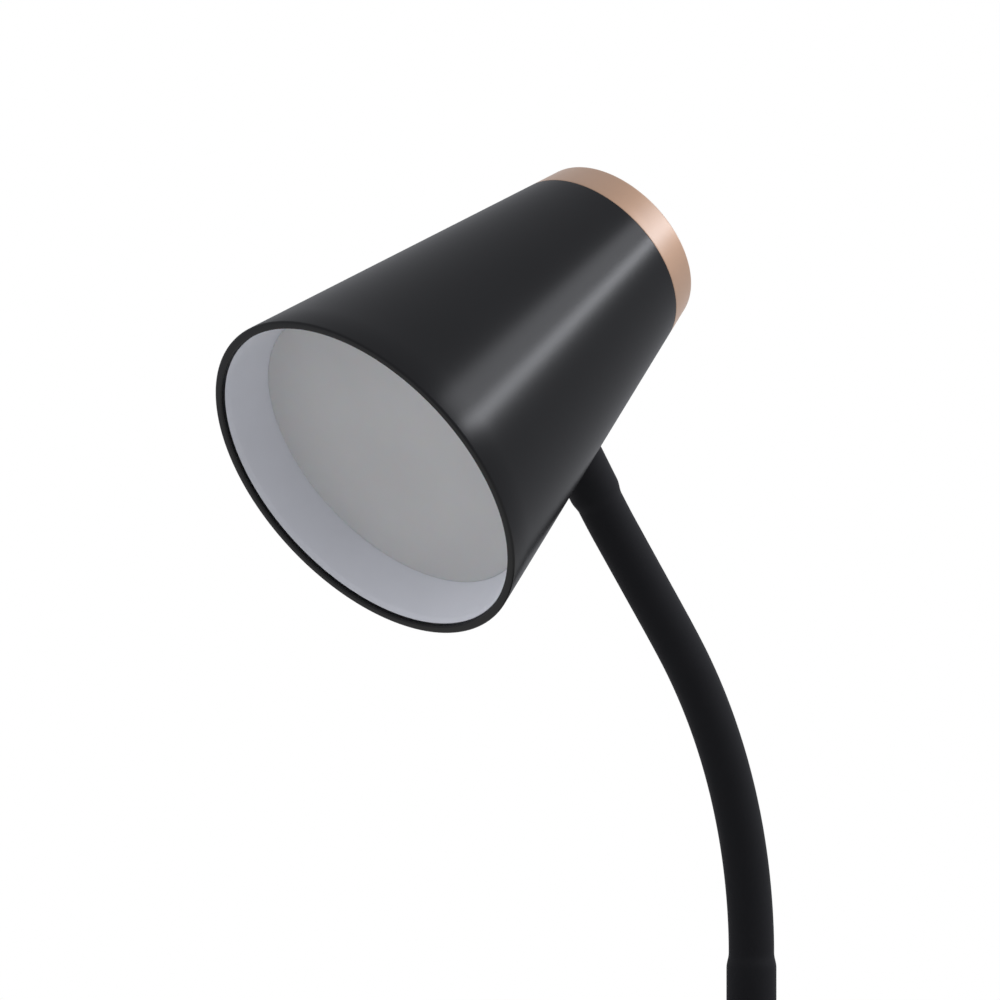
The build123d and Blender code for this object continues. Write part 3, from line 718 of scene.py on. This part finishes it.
def dress(piece: bpy.types.Object, finish: Finish) -> None:
    """Gives a piece its material and slot.

    Args:
        piece: The piece.
        finish: What it is made of.
    """
    piece.data.materials.clear()
    piece.data.materials.append(finish.material())


# ---------------------------------------------------------------- neck
@dataclass
class Neck:
    """The rubber sleeve over the gooseneck, one length for each joint.

    Each length reaches from the middle of one link to the middle of the next, in a true arc round
    the joint between them, so that the whole neck reads as one smooth tube.
    """

    joints: list[dict]
    radius: float = 6.55
    bore: float = 5.35
    end_radius: float = 7.2
    base_top: float = 26.0
    swell_top: float = 65.8
    swell_taper: float = 4.2
    arc_reach: float = 5.0
    seat_reach: float = 27.7
    head_pitch: float = 35.0
    taper_steps: int = 8
    arc_steps: int = 10

    def hinges(self) -> list[dict]:
        """The neck's joints, from the base up."""
        return [joint for joint in self.joints if joint["type"] == "hinge"]

    def pivots(self) -> list[Vector]:
        """Every neck joint's place in metres, from the base up."""
        return [Vector(hinge["pos_m"]) for hinge in self.hinges()]

    def reaches(self) -> list[tuple[float, float]]:
        """How far each length of sleeve goes below and above its pivot, in millimetres."""
        pivots = self.pivots()
        halves = [in_mm((after - before).length) / 2 for before, after in zip(pivots, pivots[1:])]
        below = [in_mm(pivots[0].z) - self.base_top, *halves]
        above = [*halves, self.seat_reach]
        return list(zip(below, above))

    def ways(self) -> list[Vector]:
        """Every link's direction: upright at the base, from pivot to pivot, then the head's."""
        pivots = self.pivots()
        pitch = math.radians(self.head_pitch)
        links = [(after - before).normalized() for before, after in zip(pivots, pivots[1:])]
        return [Vector((0, 0, 1)), *links, Vector((0, -math.sin(pitch), math.cos(pitch)))]

    def build(self) -> None:
        """Models every length of the sleeve."""
        ways = self.ways()
        places = zip(self.hinges(), self.pivots(), ways, ways[1:], self.reaches())
        for index, (hinge, pivot, way_in, way_out, reach) in enumerate(places):
            piece = self.length(index, pivot, way_in, way_out, reach)
            dress(piece, SLEEVE_RUBBER)
            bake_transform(piece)
            nodes = [f"neck_sleeve_{index:02d}"]
            if way_out is ways[-1]:
                nodes.append(f"neck_sleeve_{index + 1:02d}")
            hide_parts(*nodes)
            LOG.info("%s: %d faces", piece.name, len(piece.data.polygons))

    def length(
        self, index: int, pivot: Vector, way_in: Vector, way_out: Vector, reach: tuple[float, float]
    ) -> bpy.types.Object:
        """Models one length of the sleeve.

        Args:
            index: Its number from the base up.
            pivot: The joint's place.
            way_in: Direction of the link below.
            way_out: Direction of the link above.
            reach: How far it goes below and above the pivot, in millimetres.

        Returns:
            The closed thick tube.
        """
        below, above = reach
        shoulder_end = self.swell_taper + self.arc_reach
        swollen_foot = below > shoulder_end
        radius = self.end_radius if swollen_foot else self.radius
        at = pivot - way_in * mm(below)
        piece = self.open_annulus(f"sleeve_length_{index:02d}", radius, at, way_in)
        if swollen_foot:
            at = self.push(at, way_in, self.swell_top - self.base_top)
            at = self.taper(at, way_in, self.end_radius, self.radius)
        straight = in_mm((pivot - at).length) - self.arc_reach
        if straight > MERGE_MM:
            at = self.push(at, way_in, straight)
        self.sweep(pivot, way_in, way_out)
        at = pivot + way_out * mm(self.arc_reach)
        if above > shoulder_end:
            at = self.taper(at, way_out, self.radius, self.end_radius)
        rest = above - in_mm((at - pivot).length)
        if rest > MERGE_MM:
            self.push(at, way_out, rest)
        close_up(piece)
        settle(piece)
        return piece

    def open_annulus(self, name: str, radius: float, at: Vector, way: Vector) -> bpy.types.Object:
        """Starts a length with the flat ring at its lower end, all selected, in edit mode.

        Args:
            name: The length's name.
            radius: Outer radius of the ring, in millimetres.
            at: Middle of the ring.
            way: Direction in which the length goes on.

        Returns:
            The length, still in edit mode.
        """
        deselect()
        tilt = Vector((0, 0, 1)).rotation_difference(way).to_euler()
        bore = radius * self.bore / self.radius
        bpy.ops.mesh.primitive_circle_add(
            vertices=SMALL_STEPS, radius=mm(radius), location=at, rotation=tilt
        )
        piece = bpy.context.object
        piece.name = name
        bpy.ops.object.mode_set(mode="EDIT")
        bpy.ops.mesh.primitive_circle_add(
            vertices=SMALL_STEPS, radius=mm(bore), location=at, rotation=tilt
        )
        bpy.ops.mesh.select_all(action="SELECT")
        bpy.ops.mesh.bridge_edge_loops()
        bpy.ops.mesh.select_all(action="SELECT")
        return piece

    def push(self, at: Vector, way: Vector, distance: float) -> Vector:
        """Extrudes the selected ring straight on.

        Args:
            at: Middle of the ring.
            way: Direction.
            distance: How far, in millimetres.

        Returns:
            The new middle of the ring.
        """
        bpy.ops.mesh.extrude_region_move(TRANSFORM_OT_translate={"value": way * mm(distance)})
        return at + way * mm(distance)

    def taper(self, at: Vector, way: Vector, start: float, end: float) -> Vector:
        """Extrudes the selected ring along a soft shoulder.

        Args:
            at: Middle of the ring.
            way: Direction.
            start: Radius at its start.
            end: Radius at its end.

        Returns:
            The new middle of the ring.
        """
        radius = start
        for step in range(1, self.taper_steps + 1):
            share = step / self.taper_steps
            soft = share * share * (3 - 2 * share)
            wanted = start + (end - start) * soft
            at = self.push(at, way, self.swell_taper / self.taper_steps)
            grow = wanted / radius
            bpy.ops.transform.resize(value=(grow, grow, grow), center_override=at)
            radius = wanted
        return at

    def sweep(self, pivot: Vector, way_in: Vector, way_out: Vector) -> None:
        """Takes the selected ring round the joint.

        Args:
            pivot: The joint's place.
            way_in: Direction of the link below.
            way_out: Direction of the link above.
        """
        turning = way_in.angle(way_out)
        if turning < STRAIGHT_ANGLE:
            for _ in range(self.arc_steps):
                self.push(pivot, way_in, 2 * self.arc_reach / self.arc_steps)
            return
        axis = way_in.cross(way_out).normalized()
        inward = axis.cross(way_in)
        reach = mm(self.arc_reach)
        centre = pivot - way_in * reach + inward * (reach / math.tan(turning / 2))
        bpy.ops.mesh.spin(steps=self.arc_steps, angle=-turning, center=centre, axis=axis)


# ---------------------------------------------------------------- head
@dataclass
class Head:
    """Shade, rear cap, reflector and light disc.

    They are turned upright, with the mouth at height 0 and the rear end up, and the neck on their
    +Y side. Then they are tilted and set on the neck.

    Attributes:
        seam_depth: Where the shade's outside ends and the cap's begins.
        reflector_nip: How much the bowl still narrows round the end of its bevel.
        disc_play: Gap round the disc.
        neck_entry: Depth behind the mouth at which the neck enters.
        reach: Distance from the last pivot to the head's axis.
    """

    last_pivot: Vector
    mouth_radius: float = 50.5
    shade_length: float = 104.3
    shade_end_radius: float = 28.5
    wall: float = 2.25
    lip_depth: float = 1.25
    lip_round: float = 0.55
    back_thickness: float = 2.5
    screw_hole: float = 2.25
    seam_depth: float = 103.9
    seam_round: float = 0.15
    cap_length: float = 10.4
    cap_wall: float = 1.5
    cap_round: float = 1.2
    cap_edge: float = 0.2
    cap_fillet: float = 2.0
    cap_face_rings: tuple[float, float] = (18.0, 9.0)
    reflector_gap: float = 0.1
    reflector_bevel: float = 1.35
    reflector_edge: float = 1.1
    reflector_soft: float = 0.15
    reflector_nip: float = 0.12
    reflector_wall: float = 1.2
    disc_depth: float = 14.4
    disc_margin: float = 1.6
    disc_play: float = 0.05
    disc_ledge: float = 2.2
    disc_round: float = 0.12
    disc_thickness: float = 2.0
    neck_entry: float = 68.8
    neck_seat: float = 32.69
    pocket_radius: float = 7.35
    reach: float = 60.388
    pitch: float = 35.0

    def slope(self) -> float:
        """How much the shade narrows for each millimetre behind its mouth."""
        return (self.mouth_radius - self.shade_end_radius) / self.shade_length

    def outer(self, depth: float) -> float:
        """Outer radius of the shade at a depth behind its mouth."""
        return self.mouth_radius - self.slope() * depth

    def inner(self, depth: float) -> float:
        """Inner radius of the shade at a depth behind its mouth."""
        return self.outer(depth) - self.wall

    def place(self) -> Matrix:
        """Where the head stands on the neck."""
        pitch = math.radians(self.pitch)
        up_neck = Vector((0, -math.sin(pitch), math.cos(pitch)))
        backward = Vector((0, math.cos(pitch), math.sin(pitch)))
        mouth = self.last_pivot + up_neck * mm(self.reach) - backward * mm(self.neck_entry)
        return Matrix.Translation(mouth) @ Matrix.Rotation(pitch - math.pi / 2, 4, "X")

    def build(self) -> None:
        """Models the head's pieces and sets them on the neck."""
        place = self.place()
        pieces = (
            (self.shade(), SHADE_ABS, "shade"),
            (self.rear_cap(), ROSE_ANODISED, "rear_cap"),
            (self.reflector(), REFLECTOR_WHITE, "reflector"),
            (self.disc(), DIFFUSER_OPAL, "diffuser"),
        )
        for piece, finish, node in pieces:
            settle(piece, place)
            finish_piece(piece, finish, "head", node)

    def shade(self) -> bpy.types.Object:
        """Moulded cone with a rounded lip, a closed back and the neck's hole."""
        back = self.shade_length - self.back_thickness
        front = self.lip_round
        outer_lip = rounding(Ring(self.outer(front) - front, front), front, 0, -90)
        inner_lip = rounding(Ring(self.inner(self.lip_depth) + front, front), front, -90, -180)
        seam = self.seam_round
        seam_start = self.seam_depth - seam
        rings = [
            Ring(self.screw_hole, self.seam_depth),
            *rounding(Ring(self.outer(seam_start) - seam, seam_start), seam, 90, 0, 4),
            *self.wall_rings(seam_start, front, self.outer)[1:-1],
            *outer_lip,
            *inner_lip,
            *self.wall_rings(self.lip_depth, back, self.inner),
            Ring(self.screw_hole, back),
        ]
        piece = turn("shade_shell", rings, Core.HOLLOW)
        reach = self.mouth_radius
        entry = (self.neck_seat + reach / 2, self.neck_entry)
        drill(piece, self.pocket_radius, reach, entry, Drilling.LEVEL)
        return piece

    def wall_rings(self, start: float, end: float, radius: Callable[[float], float]) -> list[Ring]:
        """Rings along the cone, close enough for even shading.

        Args:
            start: First depth behind the mouth.
            end: Last depth.
            radius: Gives the radius at a depth.

        Returns:
            The rings, both ends included.
        """
        depths = [start + (end - start) * step / CONE_STEPS for step in range(CONE_STEPS + 1)]
        return [Ring(radius(depth), depth) for depth in depths]

    def rear_cap(self) -> bpy.types.Object:
        """Turned cup that carries on the cone and closes its rear end."""
        start = self.seam_depth
        end = self.shade_length + self.cap_length
        floor = end - self.cap_wall
        bore = self.outer(floor) - self.cap_wall
        lean = math.atan(self.slope())
        drop = self.cap_round
        centre = Ring(self.outer(end - drop) - drop / math.cos(lean), end - drop)
        edge = self.cap_edge
        front_edge = Ring(self.outer(start + edge) - edge, start + edge)
        rings = [
            Ring(bore / 2, floor),
            Ring(bore - self.cap_fillet, floor),
            Ring(bore, floor - self.cap_fillet),
            Ring(self.shade_end_radius - self.cap_wall, start),
            *rounding(front_edge, edge, -90, math.degrees(lean), 5),
            *self.wall_rings(start + edge, end - drop, self.outer)[1:-1],
            *rounding(centre, drop, math.degrees(lean), 90, 10),
            *(Ring(radius, end) for radius in self.cap_face_rings),
        ]
        return turn("rear_cap_turned", rings, Core.SOLID)

    def reflector(self) -> bpy.types.Object:
        """Moulded bowl: bevelled front edge, inner cone and the ledge round the light disc."""
        front = self.inner(self.lip_depth) - self.reflector_gap
        seat = self.inner(self.disc_depth) - self.disc_margin + self.disc_play
        ledge = seat - self.disc_ledge
        soft = self.reflector_soft
        throat = front - self.reflector_edge
        bevel_end = self.lip_depth + self.reflector_bevel
        back = self.disc_depth + self.disc_thickness
        rear = back + self.reflector_wall
        rings = [
            Ring(front, self.lip_depth),
            Ring(front - soft, self.lip_depth),
            Ring(throat + self.reflector_nip, bevel_end - soft),
            Ring(throat, bevel_end + soft),
            Ring(seat, self.disc_depth),
            Ring(seat, back),
            Ring(ledge, back),
            Ring(ledge, rear),
            Ring(self.inner(rear) - self.reflector_gap, rear),
        ]
        return turn("reflector_bowl", rings, Core.HOLLOW)

    def disc(self) -> bpy.types.Object:
        """Milky disc with softened edges."""
        radius = self.inner(self.disc_depth) - self.disc_margin
        soft = self.disc_round
        back = self.disc_depth + self.disc_thickness
        rings = [
            Ring(radius / 2, self.disc_depth),
            Ring(radius - soft, self.disc_depth),
            *rounding(Ring(radius - soft, self.disc_depth + soft), soft, -90, 0, 4)[1:],
            Ring(radius, back),
            Ring(radius / 2, back),
        ]
        return turn("light_disc", rings, Core.SOLID)


# ---------------------------------------------------------------- base
@dataclass
class Base:
    """Moulded cover, foot pad, push button and inlet.

    Attributes:
        skirt: Height above the pad of a ring that keeps the wall's faces even.
        groove_mouth: Half the width of a groove at the underside.
        groove_floor: Half its width at its floor.
        dish_edge: Share of the button's radius at which its dish starts.
        jack_setback: How far the inlet's face lies inside the cover.
    """

    radius: float = 75.0
    height: float = 26.0
    edge_round: float = 9.0
    foot_round: float = 0.5
    skirt: float = 5.0
    top_rings: tuple[float, float] = (20.0, 45.0)
    wall: float = 2.5
    pad_thickness: float = 2.0
    pad_radius: float = 70.0
    pad_round: float = 0.6
    pad_core: float = 6.0
    pad_top_core: float = 30.0
    groove_radii: tuple[float, ...] = (18.0, 32.0, 46.0, 60.0)
    groove_depth: float = 0.4
    groove_mouth: float = 1.2
    groove_floor: float = 0.8
    thread_hole: float = 5.25
    button_y: float = -42.0
    button_radius: float = 7.0
    button_round: float = 0.6
    button_gap: float = 0.3
    button_proud: float = 1.4
    button_dish: float = 0.35
    dish_edge: float = 0.82
    dish_shares: tuple[float, ...] = (0.74, 0.62, 0.48, 0.32, 0.16)
    flange_width: float = 1.2
    flange_thickness: float = 1.0
    flange_play: float = 0.1
    flange_core: float = 4.0
    jack_axis: float = 9.0
    jack_front: float = 72.11
    jack_length: float = 13.0
    jack_nose: float = 4.2
    jack_gap: float = 0.25
    jack_shoulder: float = 0.3
    jack_bore: float = 3.15
    jack_bore_depth: float = 9.5
    jack_bore_chamfer: float = 0.4
    jack_nose_chamfer: float = 0.25
    jack_rear_bore: float = 2.0
    jack_floor: float = 0.5
    jack_setback: float = 0.6
    pin_hole: float = 0.5
    pin_radius: float = 1.0
    pin_round: float = 0.6
    pin_core: float = 0.6
    pin_root: float = 0.4
    pin_setback: float = 1.0

    def build(self) -> None:
        """Models the base's pieces."""
        finish_piece(self.cover(), COVER_ABS, "base", "base_cover")
        finish_piece(self.pad(), PAD_RUBBER, "base", "foot_pad")
        finish_piece(self.button(), COVER_ABS, "button", "switch_button")
        finish_piece(self.inlet(), MOULDED_BLACK, "base", "dc_jack")
        pin = self.inlet_pin()
        dress(pin, NICKEL_PIN)
        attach(pin, "base")

    def cover(self) -> bpy.types.Object:
        """Low round cover with a wide rounded shoulder, drilled for the button and the inlet."""
        shoulder = self.edge_round
        inner_round = shoulder - self.wall
        bore = self.radius - self.wall
        low = self.pad_thickness
        foot = self.foot_round
        rings = [
            Ring(self.thread_hole, self.height),
            *(Ring(radius, self.height) for radius in self.top_rings),
            *rounding(Ring(self.radius - shoulder, self.height - shoulder), shoulder, 90, 0, 16),
            Ring(self.radius, low + self.skirt),
            *rounding(Ring(self.radius - foot, low + foot), foot, 0, -90, 4),
            Ring(bore, low),
            *rounding(Ring(bore - inner_round, self.height - shoulder), inner_round, 0, 90, 8),
            Ring(self.thread_hole, self.height - self.wall),
        ]
        piece = turn("base_shell", rings, Core.HOLLOW)
        depth = self.wall * 3
        button_hole = self.button_radius + self.button_gap
        drill(piece, button_hole, depth, (self.button_y, self.height), Drilling.UPRIGHT)
        jack_hole = self.jack_nose + self.jack_gap
        drill(piece, jack_hole, depth, (self.radius, self.jack_axis), Drilling.LEVEL)
        return piece

    def pad(self) -> bpy.types.Object:
        """Rubber pad with a rounded edge and shallow grooves underneath."""
        rings = [Ring(self.pad_core, 0.0)]
        for middle in self.groove_radii:
            rings += [
                Ring(middle - self.groove_mouth, 0.0),
                Ring(middle - self.groove_floor, self.groove_depth),
                Ring(middle + self.groove_floor, self.groove_depth),
                Ring(middle + self.groove_mouth, 0.0),
            ]
        edge = self.pad_round
        rings += rounding(Ring(self.pad_radius - edge, edge), edge, -90, 0, 4)
        rings += [Ring(radius, self.pad_thickness) for radius in (self.pad_radius, self.pad_top_core)]
        return turn("foot_pad_moulded", rings, Core.SOLID)

    def button(self) -> bpy.types.Object:
        """Round cap with a soft edge and a dished top for the fingertip."""
        top = self.height + self.button_proud
        soft = self.button_round
        flange_top = self.height - self.wall - self.flange_play
        flange_foot = flange_top - self.flange_thickness
        flange = self.button_radius + self.button_gap + self.flange_width
        dish = [
            Ring(
                self.button_radius * share,
                top - self.button_dish * (1 - (share / self.dish_edge) ** 2),
            )
            for share in self.dish_shares
        ]
        rings = [
            Ring(self.flange_core, flange_foot),
            Ring(flange, flange_foot),
            Ring(flange, flange_top),
            Ring(self.button_radius, flange_top),
            *rounding(Ring(self.button_radius - soft, top - soft), soft, 0, 90, 6),
            *dish,
        ]
        piece = turn("button_cap", rings, Core.SOLID, SMALL_STEPS)
        settle(piece, Matrix.Translation((0, mm(self.button_y), 0)))
        return piece

    def inlet(self) -> bpy.types.Object:
        """Round inlet: a stepped body and a nose with a chamfered bore."""
        face = self.radius - self.jack_setback
        rear = self.jack_front - self.jack_length
        floor = face - self.jack_bore_depth
        back_floor = floor - self.jack_floor
        body = self.jack_nose + self.jack_shoulder
        rings = [
            Ring(self.jack_bore, floor),
            Ring(self.jack_bore, face - self.jack_bore_chamfer),
            Ring(self.jack_bore + self.jack_bore_chamfer, face),
            Ring(self.jack_nose - self.jack_nose_chamfer, face),
            Ring(self.jack_nose, face - self.jack_nose_chamfer),
            Ring(self.jack_nose, self.jack_front),
            Ring(body, self.jack_front),
            Ring(body, rear),
            Ring(self.jack_rear_bore, rear),
            Ring(self.jack_rear_bore, back_floor),
            Ring(self.pin_hole, back_floor),
            Ring(self.pin_hole, floor),
        ]
        piece = turn("inlet_housing", rings, Core.HOLLOW, SMALL_STEPS)
        settle(piece, self.jack_place())
        return piece

    def inlet_pin(self) -> bpy.types.Object:
        """Centre pin with a rounded tip."""
        face = self.radius - self.jack_setback
        root = face - self.jack_bore_depth - self.pin_root
        soft = self.pin_round
        shoulder = face - self.pin_setback - soft
        rings = [
            Ring(self.pin_core, root),
            Ring(self.pin_radius, root),
            Ring(self.pin_radius, shoulder),
            *rounding(Ring(self.pin_radius - soft, shoulder), soft, 0, 80, 5)[1:],
        ]
        piece = turn("inlet_pin", rings, Core.SOLID, PIN_STEPS)
        settle(piece, self.jack_place())
        return piece

    def jack_place(self) -> Matrix:
        """Lays a turned piece along the inlet's axis."""
        return Matrix.Translation((0, 0, mm(self.jack_axis))) @ Matrix.Rotation(-math.pi / 2, 4, "X")


# ---------------------------------------------------------------- hidden works
def dress_works(frame: dict) -> None:
    """Gives every CAD node the finish that its slot names.
    """
    by_slot = {finish.slot: finish for finish in FINISHES}
    for part in frame["record"]["subparts"]:
        node = frame["nodes"][part["node"]]
        node.data.materials.clear()
        node.data.materials.append(by_slot[part["material_slot"]].material())


# ---------------------------------------------------------------- studio
@dataclass(frozen=True)
class SoftBox:
    """A rectangular studio lamp that faces the shade.

    Attributes:
        name: Its name.
        way: Direction from the shade to the lamp.
        distance: Metres from the shade.
        width: Metres across, along the ground.
        height: Metres up.
        watts: Its power.
    """

    name: str
    way: tuple[float, float, float]
    distance: float
    width: float
    height: float
    watts: float


SOFT_BOXES = (
    SoftBox("upper_strip", (0.484, 0.579, 0.656), 1.0, 0.7, 0.19, 1.9),
    SoftBox("lower_strip", (0.536, 0.697, 0.481), 1.0, 0.7, 0.09, 4.1),
)


@dataclass
class Studio:
    """Camera, lamps, world and floor, in metres.

    Attributes:
        rim_centre: Middle of the shade's mouth.
        lamp_aim: Where the lamps point, from there.
        floor_fade_start: Where the floor starts to turn white, from its middle.
        floor_bounce: The floor's colour for the light that it throws back.
        low_light: Strength of the light from straight below.
        high_light: Strength of the light from straight above.
        room_way: Direction of the dim room.
        room_edge: Cosine of the angle from room_way at which the light starts to fall.
        room_light: Share of the light that is left at room_way.
    """

    rim_centre: Vector
    camera_azimuth: float = 47.13
    camera_distance: float = 1.194
    camera_aside: float = 0.036665
    camera_drop: float = 0.005194
    lens: float = 162.0
    sensor: float = 36.0
    near_clip: float = 0.02
    lamp_aim: tuple[float, float, float] = (0.0, 0.043, 0.03)
    floor_sides: int = 96
    floor_radius: float = 6.0
    floor_fade_start: float = 0.3
    floor_fade_end: float = 0.52
    light_colour: str = "#f7f9ff"
    floor_colour: str = "#f9f7f1"
    floor_bounce: str = "#adadad"
    low_light: float = 1.0
    high_light: float = 1.16
    room_way: tuple[float, float, float] = (0.83, -0.55, 0.1)
    room_edge: float = 0.35
    room_light: float = 0.1

    def build(self) -> None:
        """Sets up everything that isn't the lamp."""
        bpy.context.scene.view_settings.view_transform = "Standard"
        self.add_camera()
        self.add_world()
        self.add_floor()
        head = self.rim_centre + Vector(self.lamp_aim)
        for box in SOFT_BOXES:
            self.add_soft_box(box, head)

    def add_camera(self) -> None:
        """Puts the camera level with the mouth, square to the horizon."""
        turned = math.radians(self.camera_azimuth)
        right = Vector((math.cos(turned), math.sin(turned), 0))
        back = Vector((math.sin(turned), -math.cos(turned), 0))
        place = self.rim_centre + right * self.camera_aside + back * self.camera_distance
        place.z -= self.camera_drop
        data = bpy.data.cameras.new("camera")
        data.lens = self.lens
        data.sensor_width = self.sensor
        data.clip_start = self.near_clip
        camera = bpy.data.objects.new("camera", data)
        camera.location = place
        camera.rotation_euler = (math.pi / 2, 0, turned)
        bpy.context.scene.collection.objects.link(camera)
        bpy.context.scene.camera = camera

    def add_soft_box(self, box: SoftBox, head: Vector) -> None:
        """Hangs one lamp, facing the head.

        Args:
            box: The lamp.
            head: The point that it faces.
        """
        data = bpy.data.lights.new(box.name, "AREA")
        data.shape = "RECTANGLE"
        data.size = box.width
        data.size_y = box.height
        data.energy = box.watts
        data.color = linear(self.light_colour)[:3]
        way = Vector(box.way).normalized()
        lamp = bpy.data.objects.new(box.name, data)
        lamp.location = head + way * box.distance
        lamp.rotation_euler = way.to_track_quat("Z", "Y").to_euler()
        bpy.context.scene.collection.objects.link(lamp)

    def add_world(self) -> None:
        """Grey light, dimmest from the side of the room, and white for the camera and for mirrors."""
        world = bpy.data.worlds.new("studio")
        bpy.context.scene.world = world
        world.use_nodes = True
        tree = world.node_tree
        tree.nodes.clear()
        way = add_node(tree, "ShaderNodeTexCoord").outputs["Generated"]
        upward = add_node(tree, "ShaderNodeSeparateXYZ", links={0: way}).outputs["Z"]
        sky = add_node(
            tree,
            "ShaderNodeMapRange",
            {"To Min": self.low_light, "To Max": self.high_light},
            {"Value": upward},
        ).outputs["Result"]
        towards_room = add_node(
            tree, "ShaderNodeVectorMath", {1: self.room_way}, {0: way}, operation="DOT_PRODUCT"
        ).outputs["Value"]
        dimming = add_node(
            tree,
            "ShaderNodeMapRange",
            {"From Min": self.room_edge, "To Min": 1.0, "To Max": self.room_light},
            {"Value": towards_room},
            interpolation_type="SMOOTHSTEP",
        ).outputs["Result"]
        dimmed = add_node(
            tree, "ShaderNodeMath", links={0: sky, 1: dimming}, operation="MULTIPLY"
        ).outputs[0]
        strength = add_node(
            tree,
            "ShaderNodeMapRange",
            {"To Max": 1.0},
            {"Value": self.seen_directly(tree), "To Min": dimmed},
        ).outputs["Result"]
        light = add_node(
            tree,
            "ShaderNodeBackground",
            links={"Color": self.backdrop_colour(tree), "Strength": strength},
        )
        add_node(tree, "ShaderNodeOutputWorld", links={"Surface": light.outputs["Background"]})

    def backdrop_colour(self, tree: bpy.types.NodeTree) -> bpy.types.NodeSocket:
        """White for the camera, and the lamps' cool white as light."""
        camera = add_node(tree, "ShaderNodeLightPath").outputs["Is Camera Ray"]
        return add_node(
            tree,
            "ShaderNodeMix",
            {6: linear(self.light_colour), 7: WHITE},
            {0: camera},
            data_type="RGBA",
        ).outputs[2]

    def seen_directly(self, tree: bpy.types.NodeTree) -> bpy.types.NodeSocket:
        """Finds the rays of the camera, of mirrors and through glass.

        Args:
            tree: The node tree that asks.

        Returns:
            1 for those rays and 0 for others.
        """
        path = add_node(tree, "ShaderNodeLightPath").outputs
        seen = path["Is Camera Ray"]
        for kind in ("Is Glossy Ray", "Is Transmission Ray"):
            links = {0: seen, 1: path[kind]}
            seen = add_node(tree, "ShaderNodeMath", links=links, operation="MAXIMUM").outputs[0]
        return seen

    def add_floor(self) -> None:
        """Round pale floor that takes the lamp's shadow and fades to white further off."""
        bpy.ops.mesh.primitive_circle_add(
            vertices=self.floor_sides, radius=self.floor_radius, fill_type="NGON"
        )
        floor = bpy.context.object
        floor.name = "floor"
        material = bpy.data.materials.new("pale_floor")
        material.use_nodes = True
        tree = material.node_tree
        tree.nodes.clear()
        place = add_node(tree, "ShaderNodeTexCoord").outputs["Object"]
        far = add_node(
            tree, "ShaderNodeVectorMath", links={0: place}, operation="LENGTH"
        ).outputs["Value"]
        fade = add_node(
            tree,
            "ShaderNodeMapRange",
            {"From Min": self.floor_fade_start, "From Max": self.floor_fade_end},
            {"Value": far},
            interpolation_type="SMOOTHSTEP",
        ).outputs["Result"]
        share = add_node(
            tree, "ShaderNodeMath", links={0: fade, 1: self.seen_directly(tree)}, operation="MULTIPLY"
        ).outputs[0]
        bounced = add_node(tree, "ShaderNodeLightPath").outputs["Is Diffuse Ray"]
        colour = add_node(
            tree,
            "ShaderNodeMix",
            {6: linear(self.floor_colour), 7: linear(self.floor_bounce)},
            {0: bounced},
            data_type="RGBA",
        ).outputs[2]
        pale = add_node(tree, "ShaderNodeBsdfDiffuse", links={"Color": colour})
        white = add_node(
            tree, "ShaderNodeEmission", {"Strength": 1.0}, {"Color": self.backdrop_colour(tree)}
        )
        mixed = add_node(
            tree,
            "ShaderNodeMixShader",
            links={0: share, 1: pale.outputs["BSDF"], 2: white.outputs["Emission"]},
        )
        add_node(tree, "ShaderNodeOutputMaterial", links={"Surface": mixed.outputs["Shader"]})
        floor.data.materials.append(material)


def main() -> None:
    """Builds the lamp's looks in order."""
    logging.basicConfig(level=logging.INFO, format="%(message)s")
    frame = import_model()
    dress_works(frame)
    neck = Neck(joints=frame["joints"])
    head = Head(last_pivot=neck.pivots()[-1])
    studio = Studio(rim_centre=head.place().to_translation())
    studio.build()
    neck.build()
    head.build()
    Base().build()


if __name__ == "__main__":
    main()
